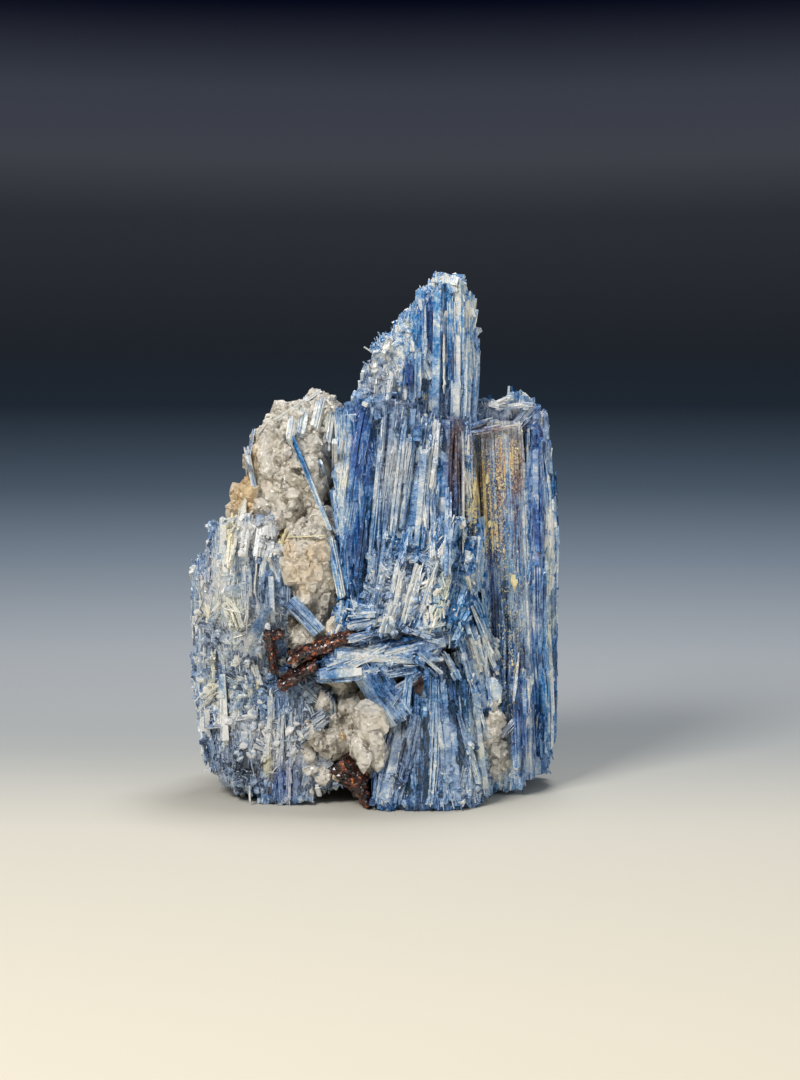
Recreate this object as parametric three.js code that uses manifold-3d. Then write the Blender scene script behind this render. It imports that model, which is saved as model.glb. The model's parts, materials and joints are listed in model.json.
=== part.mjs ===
// A kyanite blade cluster: sheaves of long flat kyanite blades grown through white quartz, with a few dark
// staurolite crystals. It stands on its own broken base.
// Millimetres, +Z up. The front faces -Y. The origin is the middle of the footprint, on the table.
import * as THREE from "three";
import { ConvexGeometry } from "three/addons/geometries/ConvexGeometry.js";
import { mergeVertices } from "three/addons/utils/BufferGeometryUtils.js";
import Module from "manifold-3d";

const wasm = await Module();
wasm.setup();

// Driving dimensions.
const WIDTH = 92; // over the widest blades
const DEPTH = 54; // front spray to back sheaf
const HEIGHT = 128; // room above the table for the spire
const GAP = 0.3; // left between neighbouring crystals
const LEAST_FEATURE = 0.1; // slivers smaller than this are merged away

// A flattened six-sided blade section, as shares of the half width and half thickness.
const BLADE_SECTION = [
  [-1, -0.3],
  [-0.66, -1],
  [0.72, -1],
  [1, -0.2],
  [0.62, 1],
  [-0.76, 1],
];
// A staurolite prism's section: four long faces with two narrow ones between them.
const PRISM_SECTION = [
  [-1, 0.15],
  [-0.35, -0.9],
  [0.45, -1],
  [1, -0.1],
  [0.4, 0.95],
  [-0.4, 1],
];

const FINISHES = {
  kyanite: { color: 0x6f8fbe, roughness: 0.4, metalness: 0 },
  quartz: { color: 0xcfc8ba, roughness: 0.35, metalness: 0 },
  staurolite: { color: 0x3a1710, roughness: 0.3, metalness: 0 },
};

// Repeatable random numbers from 0 to 1.
function seeded(seed) {
  let state = seed >>> 0;
  return () => {
    state = (state + 0x6d2b79f5) | 0;
    let t = Math.imul(state ^ (state >>> 15), 1 | state);
    t = (t + Math.imul(t ^ (t >>> 7), 61 | t)) ^ t;
    return ((t ^ (t >>> 14)) >>> 0) / 2 ** 32;
  };
}

function toSolid(geometry) {
  const plain = geometry.clone();
  plain.deleteAttribute("normal");
  plain.deleteAttribute("uv");
  const merged = mergeVertices(plain, 1e-4);
  return new wasm.Manifold(
    new wasm.Mesh({
      numProp: 3,
      vertProperties: merged.attributes.position.array,
      triVerts: new Uint32Array(merged.index.array),
    }),
  );
}

function toGeometry(solid) {
  const mesh = solid.getMesh();
  return new THREE.BufferGeometry()
    .setAttribute(
      "position",
      new THREE.BufferAttribute(new Float32Array(mesh.vertProperties), 3),
    )
    .setIndex(new THREE.BufferAttribute(new Uint32Array(mesh.triVerts), 1));
}

// One straight crystal from foot to tip. Its flat face looks to the front, turned about its length by turn.
// slant tips its end face over, and grow makes it larger all round.
function crystalGeometry(spec, grow) {
  const { foot, tip, width, thick, turn = 0, slant = 0, section = BLADE_SECTION } = spec;
  const start = new THREE.Vector3(...foot);
  const along = new THREE.Vector3(...tip).sub(start);
  const length = along.length() + 2 * grow;
  along.normalize();
  const outline = section.map(
    ([x, y]) => new THREE.Vector2(x * (width / 2 + grow), y * (thick / 2 + grow)),
  );
  const geometry = new THREE.ExtrudeGeometry(new THREE.Shape(outline), {
    depth: length,
    bevelEnabled: false,
  });
  const position = geometry.attributes.position;
  for (let i = 0; i < position.count; i++)
    if (position.getZ(i) > length / 2)
      position.setZ(i, length + slant * position.getX(i));
  const back = new THREE.Vector3(0, 1, 0);
  back.addScaledVector(along, -back.dot(along)).normalize();
  back.applyAxisAngle(along, turn);
  const side = new THREE.Vector3().crossVectors(back, along);
  start.addScaledVector(along, -grow);
  const place = new THREE.Matrix4().makeBasis(side, back, along).setPosition(start);
  return geometry.applyMatrix4(place);
}

// A lump of quartz: the hull of scattered points on an ellipsoid, so that it has flat broken faces.
function lumpGeometry({ centre, radii, seed, points = 24 }, grow) {
  const random = seeded(seed);
  const corners = [];
  for (let i = 0; i < points; i++) {
    const height = 1 - (2 * (i + 0.5)) / points;
    const angle = i * Math.PI * (3 - Math.sqrt(5));
    const ring = Math.sqrt(1 - height * height);
    const reach = 0.82 + 0.26 * random();
    corners.push(
      new THREE.Vector3(
        centre[0] + (radii[0] + grow) * ring * Math.cos(angle) * reach,
        centre[1] + (radii[1] + grow) * ring * Math.sin(angle) * reach,
        centre[2] + (radii[2] + grow) * height * reach,
      ),
    );
  }
  return new ConvexGeometry(corners);
}

function line(points) {
  const path = new THREE.CurvePath();
  for (let i = 1; i < points.length; i++)
    path.add(
      new THREE.LineCurve3(
        new THREE.Vector3(...points[i - 1]),
        new THREE.Vector3(...points[i]),
      ),
    );
  return path;
}

// A sheaf of blades side by side, from a line of feet to a line of tips, in one or more rows.
function sheaf({ feet, tips, count, rows = 1, step = [0, 5, -1], width, thick, ragged = 1.5, seed }) {
  const random = seeded(seed);
  const spread = (size) => (random() - 0.5) * 2 * size;
  const [footLine, tipLine] = [line(feet), line(tips)];
  const blades = [];
  for (let row = 0; row < rows; row++)
    for (let i = 0; i < count; i++) {
      const share = (i + (row % 2) * 0.35) / (count - 1 + 0.35);
      const shift = step.map((s) => s * row);
      const from = footLine.getPoint(share);
      const to = tipLine.getPoint(share);
      blades.push({
        foot: [from.x + shift[0], from.y + shift[1] + spread(0.7), from.z],
        tip: [
          to.x + shift[0] + spread(0.5),
          to.y + shift[1] + spread(0.9),
          to.z + shift[2] + spread(ragged),
        ],
        width: width * (1 + spread(0.22)),
        thick: thick * (1 + spread(0.2)),
        turn: spread(0.3),
        slant: spread(0.5),
      });
    }
  return blades;
}

// Every piece of the cluster, in the order in which the pieces keep their space: each one is cut back from
// those above it. A bundle is a list of blades that run side by side.
const pieces = {
  staurolite_bar: {
    mineral: "staurolite",
    section: PRISM_SECTION,
    bundles: [
      [
        { foot: [-20, -20.5, 36.5], tip: [-12, -21, 38.8], width: 3.2, thick: 6 },
        { foot: [-13.5, -21, 38.6], tip: [-4, -21.5, 42.4], width: 4, thick: 6 },
      ],
    ],
  },
  staurolite_hook: {
    mineral: "staurolite",
    section: PRISM_SECTION,
    bundles: [
      [
        { foot: [-26.3, -19.5, 41.6], tip: [-21.3, -19.5, 42], width: 2.4, thick: 5 },
        { foot: [-25, -19.5, 42], tip: [-23.6, -19.5, 32.4], width: 2.3, thick: 5 },
      ],
    ],
  },
  staurolite_prism: {
    mineral: "staurolite",
    section: PRISM_SECTION,
    bundles: [
      [{ foot: [-22.4, -20.5, 29.6], tip: [-13, -21.5, 35.6], width: 3.6, thick: 6, slant: -0.4 }],
    ],
  },
  staurolite_stub: {
    mineral: "staurolite",
    section: PRISM_SECTION,
    bundles: [[{ foot: [11.4, -20.4, 28.8], tip: [10.8, -21, 33], width: 2.5, thick: 5 }]],
  },
  staurolite_base: {
    mineral: "staurolite",
    section: PRISM_SECTION,
    bundles: [
      [
        { foot: [-8, -19, 10.8], tip: [-1.6, -20.5, 4.6], width: 7, thick: 9, slant: 0.5 },
        { foot: [-1.4, -22.5, 0], tip: [-3, -21, 6.5], width: 2.6, thick: 5 },
      ],
    ],
  },
  kyanite_stained_blade: {
    mineral: "kyanite",
    bundles: [
      [{ foot: [35, -3.6, 2.4], tip: [30.6, -1.4, 91.4], width: 10.8, thick: 5.4, turn: 0.06, slant: 0.12 }],
    ],
  },
  kyanite_edge_blades: {
    mineral: "kyanite",
    bundles: [
      sheaf({
        feet: [[27, 9.4, 0], [34, 7, 0], [41.5, 4.5, 4]],
        tips: [[25.6, 7, 92], [30, 7.6, 94.5], [36.5, 6.6, 96], [39.6, 5, 94]],
        count: 5, width: 6, thick: 9, ragged: 2, seed: 11,
      }),
      sheaf({
        feet: [[40.6, -1, 9], [44.4, 4, 11]],
        tips: [[39.8, 0, 84], [43.6, 4, 72]],
        count: 2, width: 5, thick: 6.4, ragged: 4, seed: 12,
      }),
    ],
  },
  kyanite_foot_blades: {
    mineral: "kyanite",
    bundles: [
      sheaf({
        feet: [[29, -8.4, 0.6], [36.6, -8.8, 1.4]],
        tips: [[30.4, -9, 24], [36, -8.4, 31]],
        count: 3, width: 4.4, thick: 4, ragged: 3, seed: 13,
      }),
    ],
  },
  kyanite_spire: {
    mineral: "kyanite",
    bundles: [
      sheaf({
        feet: [[8, 0, 50], [22, 2, 46]],
        tips: [[9.8, -2, 118], [12.8, -2, 123], [16, -1.6, 127], [19, -0.8, 127], [22.8, 0.4, 122]],
        count: 6, rows: 2, step: [-0.3, 6.4, -9], width: 4.4, thick: 8.6, ragged: 0.6, seed: 21,
      }),
      sheaf({
        feet: [[-5, -3, 72], [7, -3, 66]],
        tips: [[-4, -2, 95], [-1, -2, 103], [2.4, -2, 108], [6.2, -2, 114], [9.6, -2, 117]],
        count: 6, width: 4.6, thick: 9, ragged: 1, seed: 22,
      }),
      sheaf({
        feet: [[5.6, -5, 105], [7.2, -4.4, 108.6]],
        tips: [[0.2, -4.6, 109.6], [2, -4, 113]],
        count: 2, width: 2.4, thick: 4, ragged: 0.4, seed: 23,
      }),
    ],
  },
  kyanite_shoulder_fan: {
    mineral: "kyanite",
    bundles: [
      sheaf({
        feet: [[-4.6, -13.5, 46], [2.6, -14, 45]],
        tips: [[-7.6, -7.5, 89], [-5, -8, 95.6], [0, -8.5, 99], [5, -9, 98.6], [8.8, -9, 95]],
        count: 5, width: 5, thick: 8.6, ragged: 0.8, seed: 31,
      }),
    ],
  },
  kyanite_ridge_blades: {
    mineral: "kyanite",
    bundles: [
      sheaf({
        feet: [[6.4, -14, 52], [21.6, -9.5, 50]],
        tips: [[10.4, -9.4, 94], [14, -8, 92], [18.4, -7.4, 96], [21.8, -5.6, 93]],
        count: 5, width: 5, thick: 7, ragged: 3, seed: 41,
      }),
    ],
  },
  kyanite_front_spray: {
    mineral: "kyanite",
    bundles: [
      sheaf({
        feet: [[2.4, -21, -1], [8, -22.4, -1], [17, -22, -1], [23, -18, -1], [27, -14, 2]],
        tips: [[8.4, -16, 27], [12, -16.6, 32], [18, -15, 33], [22.6, -11, 31]],
        count: 7, width: 5.2, thick: 10, ragged: 2, seed: 51,
      }),
      sheaf({
        feet: [[6, -13, -1], [21, -10, -1]],
        tips: [[9, -9, 26], [20, -6, 28]],
        count: 3, width: 7, thick: 8, ragged: 2, seed: 52,
      }),
    ],
  },
  kyanite_diagonal_blade: {
    mineral: "kyanite",
    bundles: [
      [
        { foot: [7.6, -24, 21.6], tip: [-3.4, -22.4, 36], width: 4.6, thick: 4.4, turn: 0.2, slant: 0.3 },
        { foot: [9.6, -21.4, 22.6], tip: [1.2, -20.6, 35], width: 4, thick: 4, turn: -0.2 },
      ],
    ],
  },
  kyanite_feather_sheaf: {
    mineral: "kyanite",
    bundles: [
      sheaf({
        feet: [[-12.8, -22, 33], [-11.6, -21.6, 36]],
        tips: [[14.6, -20.6, 35], [17.4, -18, 41.4]],
        count: 3, width: 4.6, thick: 5.6, ragged: 0.8, seed: 61,
      }),
    ],
  },
  kyanite_crossing_blades: {
    mineral: "kyanite",
    bundles: [
      sheaf({
        feet: [[-2, -20.4, 41], [10, -19.6, 42], [20, -17, 39]],
        tips: [[4.6, -15, 62], [11, -14.6, 66], [19, -13.6, 69], [23.6, -10.6, 64]],
        count: 5, width: 6, thick: 7, ragged: 2.4, seed: 71,
      }),
      sheaf({
        feet: [[7.4, -17.6, 52], [14, -17, 53]],
        tips: [[4, -14.4, 68.4], [15.6, -13.6, 72]],
        count: 2, width: 4, thick: 5, ragged: 2, seed: 72,
      }),
      sheaf({
        feet: [[-7, -20.6, 40], [-2, -20.8, 40]],
        tips: [[-6.4, -17.8, 49], [-1.4, -18, 50]],
        count: 2, width: 5, thick: 5, ragged: 1, seed: 73,
      }),
    ],
  },
  kyanite_side_laths: {
    mineral: "kyanite",
    bundles: [
      sheaf({
        feet: [[23.4, -15, 19], [30, -9.6, 22], [32.8, -8.6, 27]],
        tips: [[18.4, -14.4, 50], [21.6, -12.6, 54], [24, -9.4, 50]],
        count: 4, width: 3.6, thick: 5.6, ragged: 2, seed: 81,
      }),
      sheaf({
        feet: [[22, -9, 20], [29, -6, 20]],
        tips: [[19, -8, 62], [25.4, -5, 66]],
        count: 2, width: 5, thick: 6, ragged: 3, seed: 82,
      }),
    ],
  },
  kyanite_left_sheaf: {
    mineral: "kyanite",
    bundles: [
      sheaf({
        feet: [[-39, -6, 9], [-35, -11, 5], [-27, -14, 4], [-20, -15, 4]],
        tips: [[-41.6, -3, 55], [-38, -5, 64], [-33, -7, 66.4], [-27, -8.6, 66], [-22.6, -10, 61]],
        count: 6, width: 5.6, thick: 11, ragged: 2, seed: 91,
      }),
      sheaf({
        feet: [[-35, -9, 3.6], [-23, -15.6, -1], [-19.4, -16, -1]],
        tips: [[-43, -4, 27], [-24, -14, 27], [-20, -14.6, 26]],
        count: 4, width: 5.6, thick: 7, ragged: 1.6, seed: 92,
      }),
      sheaf({
        feet: [[-17.6, -16.4, 1], [-10, -16.6, 5]],
        tips: [[-16.6, -15.4, 30], [-11.4, -15.6, 27]],
        count: 3, width: 5, thick: 7, ragged: 1.4, seed: 94,
      }),
      sheaf({
        feet: [[-40, -3, 13], [-41.4, -2, 30]],
        tips: [[-42.6, -4, 34], [-42.2, -3, 52]],
        count: 2, width: 4.4, thick: 7, ragged: 1.6, seed: 93,
      }),
    ],
  },
  kyanite_clear_rod: {
    mineral: "kyanite",
    bundles: [[{ foot: [-30.2, -20.6, 37.6], tip: [-24.6, -20.2, 49.8], width: 1.9, thick: 2.4, turn: 0.5 }]],
  },
  kyanite_long_needle: {
    mineral: "kyanite",
    bundles: [[{ foot: [-10.4, -13.4, 65.6], tip: [-20.2, -11.4, 89.4], width: 1.6, thick: 2.6, slant: 1.2 }]],
  },
  kyanite_short_needle: {
    mineral: "kyanite",
    bundles: [[{ foot: [-28.4, -9.4, 74], tip: [-31, -5.6, 85.6], width: 1.8, thick: 3, slant: 0.8 }]],
  },
  kyanite_side_splinter: {
    mineral: "kyanite",
    bundles: [[{ foot: [-7.2, -17.6, 49.6], tip: [-10, -14, 64.6], width: 2.6, thick: 3.4, slant: -0.8 }]],
  },
  kyanite_pocket_wedge: {
    mineral: "kyanite",
    bundles: [
      [{ foot: [-13, -19.8, 42], tip: [-20.4, -18.6, 49.4], width: 3.8, thick: 2.6, turn: 0.3, slant: 0.5 }],
    ],
  },
  kyanite_back_sheaf: {
    mineral: "kyanite",
    bundles: [
      sheaf({
        feet: [[-9, 21, -1], [4, 22, -1], [20, 19, -1]],
        tips: [[-3, 14, 76], [7, 15, 88], [20, 13, 84]],
        count: 6, width: 6.8, thick: 8, ragged: 6, seed: 101,
      }),
      sheaf({
        feet: [[-13, 20.6, 3], [-5, 23.4, 1]],
        tips: [[-27, 14, 44], [-15, 17, 52]],
        count: 3, width: 6, thick: 6.4, ragged: 4, seed: 102,
      }),
      sheaf({
        feet: [[10, 23.4, 6], [30, 17, 4]],
        tips: [[14, 20.6, 50], [29, 14.4, 60]],
        count: 4, width: 5.6, thick: 6.4, ragged: 5, seed: 103,
      }),
    ],
  },
  quartz_side_lump: {
    mineral: "quartz",
    lumps: [
      { centre: [27.4, -11, 20], radii: [5, 6.4, 13], seed: 209 },
      { centre: [30, -9, 11], radii: [5, 5, 8], seed: 213 },
    ],
  },
  quartz_matrix: {
    mineral: "quartz",
    lumps: [
      { centre: [-19.4, -1.6, 81], radii: [12, 10, 17.4], seed: 201 },
      { centre: [-12.6, 0, 89.6], radii: [6.6, 7.4, 10.6], seed: 202 },
      { centre: [-25, -1, 68], radii: [11, 9.6, 14], seed: 203 },
      { centre: [-15, -7.6, 56], radii: [10.6, 11, 16], seed: 204 },
      { centre: [-14, -5, 30], radii: [15, 14, 24], seed: 205 },
      { centre: [-12, -13, 14.6], radii: [9, 10.4, 12], seed: 206 },
      { centre: [8, 4, 32], radii: [24, 17, 36], seed: 207, points: 30 },
      { centre: [0, 4, 66], radii: [15, 10, 22], seed: 208 },
      { centre: [-1.2, -17.6, 16.6], radii: [6, 8, 13], seed: 210 },
      { centre: [-23, 8, 30], radii: [17, 12.6, 30], seed: 211 },
      { centre: [-14, 12, 10], radii: [16, 12, 16], seed: 212 },
    ],
  },
};

const joined = (solids) => solids.reduce((whole, solid) => whole.add(solid));

function geometriesOf({ bundles = [], lumps = [], section }, grow) {
  return [
    ...bundles.map((blades) => blades.map((blade) => crystalGeometry({ section, ...blade }, grow))),
    ...lumps.map((spec) => [lumpGeometry(spec, grow)]),
  ];
}

const solidOf = (piece, grow = 0) => joined(geometriesOf(piece, grow).flat().map(toSolid));

// The room that quartz leaves for a piece: one plain hull round each bundle, because quartz fills in behind.
function roomFor(piece) {
  const hulls = geometriesOf(piece, GAP).map((geometries) => {
    const corners = geometries.flatMap(({ attributes: { position } }) =>
      Array.from({ length: position.count }, (_, i) =>
        new THREE.Vector3().fromBufferAttribute(position, i),
      ),
    );
    return toSolid(new ConvexGeometry(corners));
  });
  return joined(hulls);
}

// What may be filled: the overall box, which also cuts the feet off flat at the table.
const envelope = toSolid(
  new THREE.BoxGeometry(WIDTH, DEPTH, HEIGHT).translate(0, 0, HEIGHT / 2),
);

const largest = (solid) =>
  solid.decompose().reduce((a, b) => (b.volume() > a.volume() ? b : a));

const cluster = new THREE.Group();
const placed = [];
for (const [name, piece] of Object.entries(pieces)) {
  const room = placed.map((other) =>
    piece.mineral === "quartz" && other.mineral !== "quartz" ? roomFor(other) : solidOf(other, GAP),
  );
  let solid = solidOf(piece).intersect(envelope);
  if (room.length) solid = solid.subtract(joined(room));
  solid = largest(solid.simplify(LEAST_FEATURE));
  placed.push(piece);
  const mesh = new THREE.Mesh(
    toGeometry(solid),
    new THREE.MeshStandardMaterial(FINISHES[piece.mineral]),
  );
  mesh.name = name;
  cluster.add(mesh);
}

const extent = new THREE.Box3().setFromObject(cluster);
const middle = extent.getCenter(new THREE.Vector3());
cluster.position.set(-middle.x, -middle.y, -extent.min.z);

export default cluster;
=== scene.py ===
import json
import math

import bmesh
import bpy
import numpy as np
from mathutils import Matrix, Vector
from mathutils.bvhtree import BVHTree
from mathutils.kdtree import KDTree

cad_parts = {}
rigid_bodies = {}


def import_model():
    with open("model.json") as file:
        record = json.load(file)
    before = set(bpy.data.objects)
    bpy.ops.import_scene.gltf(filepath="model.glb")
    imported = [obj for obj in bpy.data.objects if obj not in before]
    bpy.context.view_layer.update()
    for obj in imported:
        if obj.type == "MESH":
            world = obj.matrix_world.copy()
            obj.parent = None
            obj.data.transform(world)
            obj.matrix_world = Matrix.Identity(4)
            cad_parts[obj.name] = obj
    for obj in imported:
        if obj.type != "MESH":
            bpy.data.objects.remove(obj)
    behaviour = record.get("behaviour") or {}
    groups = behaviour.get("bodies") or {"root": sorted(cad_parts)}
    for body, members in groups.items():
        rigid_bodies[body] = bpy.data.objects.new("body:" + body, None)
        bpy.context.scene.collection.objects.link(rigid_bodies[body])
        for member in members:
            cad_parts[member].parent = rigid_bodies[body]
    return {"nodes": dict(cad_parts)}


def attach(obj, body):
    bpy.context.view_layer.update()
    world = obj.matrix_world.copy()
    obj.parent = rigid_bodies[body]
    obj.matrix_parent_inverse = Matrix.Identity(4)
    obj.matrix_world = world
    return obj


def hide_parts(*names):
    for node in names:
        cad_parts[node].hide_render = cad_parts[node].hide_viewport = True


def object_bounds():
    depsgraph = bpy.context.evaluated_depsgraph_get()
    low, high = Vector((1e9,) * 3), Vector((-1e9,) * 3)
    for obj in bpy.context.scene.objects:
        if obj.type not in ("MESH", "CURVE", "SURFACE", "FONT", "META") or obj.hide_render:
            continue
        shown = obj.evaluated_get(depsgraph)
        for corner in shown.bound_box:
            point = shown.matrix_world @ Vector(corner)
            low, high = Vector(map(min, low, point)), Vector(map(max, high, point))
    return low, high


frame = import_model()
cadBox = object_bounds()
mm = 0.001


def linked(name, data):
    thing = bpy.data.objects.new(name, data)
    bpy.context.collection.objects.link(thing)
    return thing


def meshFrom(shape, name):
    mesh = bpy.data.meshes.new(name)
    shape.to_mesh(mesh)
    shape.free()
    return mesh


def lookAt(thing, aim):
    thing.rotation_euler = (Vector(aim) - thing.location).to_track_quat("-Z", "Y").to_euler()


def feed(tree, node, inputs):
    # each input gets a value of its own or the socket that drives it
    for key, value in inputs.items():
        if isinstance(value, bpy.types.NodeSocket):
            tree.links.new(value, node.inputs[key])
        else:
            node.inputs[key].default_value = value


def addNode(tree, kind, inputs=None, **settings):
    node = tree.nodes.new(kind)
    for key, value in settings.items():
        setattr(node, key, value)
    feed(tree, node, inputs or {})
    return node


camera = dict(lens=85, tall=36, away=0.628, height=8, aim=(0.0062, 0, 0.062), near=0.01, far=20)


def placeCamera():
    data = bpy.data.cameras.new("camera")
    data.lens = camera["lens"]
    data.sensor_fit = "AUTO"
    data.sensor_width = camera["tall"]
    data.clip_start = camera["near"]
    data.clip_end = camera["far"]
    lift = math.radians(camera["height"])
    made = linked("camera", data)
    made.location = Vector(camera["aim"]) + Vector((0, -math.cos(lift), math.sin(lift))) * camera["away"]
    lookAt(made, camera["aim"])
    bpy.context.scene.camera = made


lamps = [
    dict(name="keyLamp", at=(-0.40, -0.52, 0.66), size=0.30, power=6.0, colour=(1.0, 0.975, 0.94)),
    dict(name="fillLamp", at=(0.62, -0.5, 0.22), size=0.45, power=1.5, colour=(0.88, 0.93, 1.0)),
    dict(name="topLamp", at=(0.10, 0.16, 0.75), size=0.25, power=2.6, colour=(0.95, 0.97, 1.0)),
]
lampAim = (0, 0, 0.05)
# seen is what shows past the floor, dome is what lights the stage
surround = dict(seen=(0.012, 0.016, 0.024, 1), dome=(0.8, 0.88, 1.0, 1), glow=0.26)


def lightStage():
    for lamp in lamps:
        data = bpy.data.lights.new(lamp["name"], "AREA")
        data.size = lamp["size"]
        data.energy = lamp["power"]
        data.color = lamp["colour"]
        made = linked(lamp["name"], data)
        made.location = lamp["at"]
        lookAt(made, lampAim)
    world = bpy.data.worlds.new("studio")
    bpy.context.scene.world = world
    world.use_nodes = True
    tree = world.node_tree
    tree.nodes.clear()
    seen = addNode(tree, "ShaderNodeBackground", {"Color": surround["seen"]})
    dome = addNode(tree, "ShaderNodeBackground", {"Color": surround["dome"], "Strength": surround["glow"]})
    path = addNode(tree, "ShaderNodeLightPath")
    mix = addNode(tree, "ShaderNodeMixShader",
                  {0: path.outputs["Is Camera Ray"], 1: dome.outputs[0], 2: seen.outputs[0]})
    addNode(tree, "ShaderNodeOutputWorld", {"Surface": mix.outputs[0]})
    bpy.context.scene.view_settings.view_transform = "Standard"


# a floor that turns up into a wall; the colour follows the way back and then the way up, with painted light
# and shade for how the studio light falls off
backdrop = dict(profile=[(0.4, 0.0), (1.4, 0.0), (2.4, 0.0), (2.9, 0.1), (3.2, 0.4), (3.3, 1.6)], sides=96,
                climb=4.0, first=-0.3, last=5.2, gap=0.0001, roughness=0.8)
floorColoursWithPaintedFalloff = [(-0.2, (0.76, 0.69, 0.55)), (-0.04, (0.66, 0.62, 0.53)), (0.05, (0.42, 0.43, 0.42)),
                (0.18, (0.40, 0.42, 0.44)), (0.40, (0.24, 0.29, 0.35)), (0.62, (0.13, 0.175, 0.23)),
                (1.10, (0.050, 0.072, 0.100)), (1.80, (0.075, 0.085, 0.105)), (3.30, (0.16, 0.165, 0.19)),
                (3.70, (0.30, 0.30, 0.34)), (4.20, (0.24, 0.26, 0.33)), (4.85, (0.010, 0.015, 0.05))]


def layFloor():
    shape = bmesh.new()
    turns = [math.tau * step / backdrop["sides"] for step in range(backdrop["sides"])]
    rings = [[shape.verts.new((far * math.cos(a), far * math.sin(a), up)) for a in turns]
             for far, up in backdrop["profile"]]
    shape.faces.new(rings[0])
    for inner, outer in zip(rings[:-1], rings[1:]):
        for index in range(len(turns)):
            after = (index + 1) % len(turns)
            shape.faces.new((inner[index], outer[index], outer[after], inner[after])).smooth = True
    floor = linked("floor", meshFrom(shape, "floor"))
    floor.location.z = cadBox[0][2] - backdrop["gap"]
    paint, tree, body, place = newMaterial("paleFloor")
    split = addNode(tree, "ShaderNodeSeparateXYZ", {0: place})
    span = backdrop["last"] - backdrop["first"]
    way = math2(tree, "ADD", split.outputs[1], math2(tree, "MULTIPLY", split.outputs[2], backdrop["climb"]))
    way = math2(tree, "DIVIDE", math2(tree, "SUBTRACT", way, backdrop["first"]), span)
    # painted shade: pale near the object, near black far back, a lighter band where the floor bends up, dark
    # again up the wall
    stops = [((spot - backdrop["first"]) / span, colour) for spot, colour in floorColoursWithPaintedFalloff]
    feed(tree, body, {"Roughness": backdrop["roughness"], "Specular IOR Level": 0.0,
                      "Base Color": rampOf(tree, way, stops)})
    floor.data.materials.append(paint)


def newMaterial(name):
    made = bpy.data.materials.new(name)
    made.use_nodes = True
    tree = made.node_tree
    place = addNode(tree, "ShaderNodeTexCoord").outputs["Object"]
    return made, tree, tree.nodes["Principled BSDF"], place


def attribute(tree, name, out="Fac"):
    return addNode(tree, "ShaderNodeAttribute", attribute_name=name).outputs[out]


def math2(tree, kind, a, b=None, clamp=False):
    inputs = {0: a} if b is None else {0: a, 1: b}
    return addNode(tree, "ShaderNodeMath", inputs, operation=kind, use_clamp=clamp).outputs[0]


def vectorMath(tree, kind, a, b, out="Vector"):
    return addNode(tree, "ShaderNodeVectorMath", {0: a, 1: b}, operation=kind).outputs[out]


def mixed(tree, base, terms):
    # base plus every value times its weight
    for value, weight in terms:
        node = addNode(tree, "ShaderNodeMath", {0: value, 1: weight, 2: base}, operation="MULTIPLY_ADD")
        base = node.outputs[0]
    return base


def blendColour(tree, share, first, second, kind="MIX"):
    inputs = {index: (*value, 1) if isinstance(value, tuple) else value
              for index, value in ((0, share), (6, first), (7, second))}
    return addNode(tree, "ShaderNodeMix", inputs, data_type="RGBA", blend_type=kind).outputs[2]


def rampOf(tree, value, stops):
    node = addNode(tree, "ShaderNodeValToRGB", {0: value})
    elements = node.color_ramp.elements
    for index, (place, colour) in enumerate(stops):
        stop = elements[index] if index < len(elements) else elements.new(place)
        stop.position = place
        stop.color = (*colour, 1) if isinstance(colour, tuple) else (colour, colour, colour, 1)
    return node.outputs[0]


def noiseOf(tree, coordinate, scale, detail, rough):
    inputs = {"Scale": scale, "Detail": detail, "Roughness": rough, "Vector": coordinate}
    return addNode(tree, "ShaderNodeTexNoise", inputs).outputs["Fac"]


def facetsOf(tree, coordinate, scale, slopes):
    # random cells: a shade for each, and a height that tilts each its own way
    cell = addNode(tree, "ShaderNodeTexVoronoi", {"Scale": scale, "Vector": coordinate})
    away = vectorMath(tree, "SUBTRACT", coordinate, cell.outputs["Position"])
    away = vectorMath(tree, "MULTIPLY", away, slopes)
    way = vectorMath(tree, "SUBTRACT", cell.outputs["Color"], (0.5, 0.5, 0.5))
    shade = addNode(tree, "ShaderNodeSeparateColor", {0: cell.outputs["Color"]})
    return shade.outputs[0], vectorMath(tree, "DOT_PRODUCT", away, way, "Value")


def bumpOf(tree, strength, distance, terms):
    inputs = {"Strength": strength, "Distance": distance, "Height": mixed(tree, 0, terms)}
    return addNode(tree, "ShaderNodeBump", inputs).outputs[0]


placeCamera()
lightStage()
layFloor()
print("stage ready")


# the paints that every piece carries, each with the most it can reach
paints = dict(pale=1, deep=2, dull=1, rust=2, plum=1, gold=1, moss=1, royal=1)
kyaniteLook = dict(ink=(0.006, 0.036, 0.080), deep=(0.035, 0.112, 0.32), blue=(0.118, 0.27, 0.52),
                   sky=(0.295, 0.445, 0.67), pale=(0.545, 0.655, 0.74), white=(0.92, 0.90, 0.85),
                   ochre=(0.66, 0.33, 0.10), gold=(0.97, 0.83, 0.45), plum=(0.15, 0.080, 0.085),
                   rose=(0.50, 0.33, 0.30), moss=(1.0, 0.99, 0.66), royal=(0.050, 0.105, 0.42))
blueSteps = dict(ink=0.0, deep=0.14, blue=0.32, sky=0.52, pale=0.72, white=0.92)     # places on the level
# noise over the whole object: scale, detail, roughness
kyaniteNoise = dict(region=(45.0, 2, 0.5), patch=(130.0, 4, 0.6), grit=(1500.0, 4, 0.75),
                    dusty=(60.0, 3, 0.6), cast=(170.0, 3, 0.6), mottle=(330.0, 4, 0.7),
                    speck=(1300.0, 4, 0.75))
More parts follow.
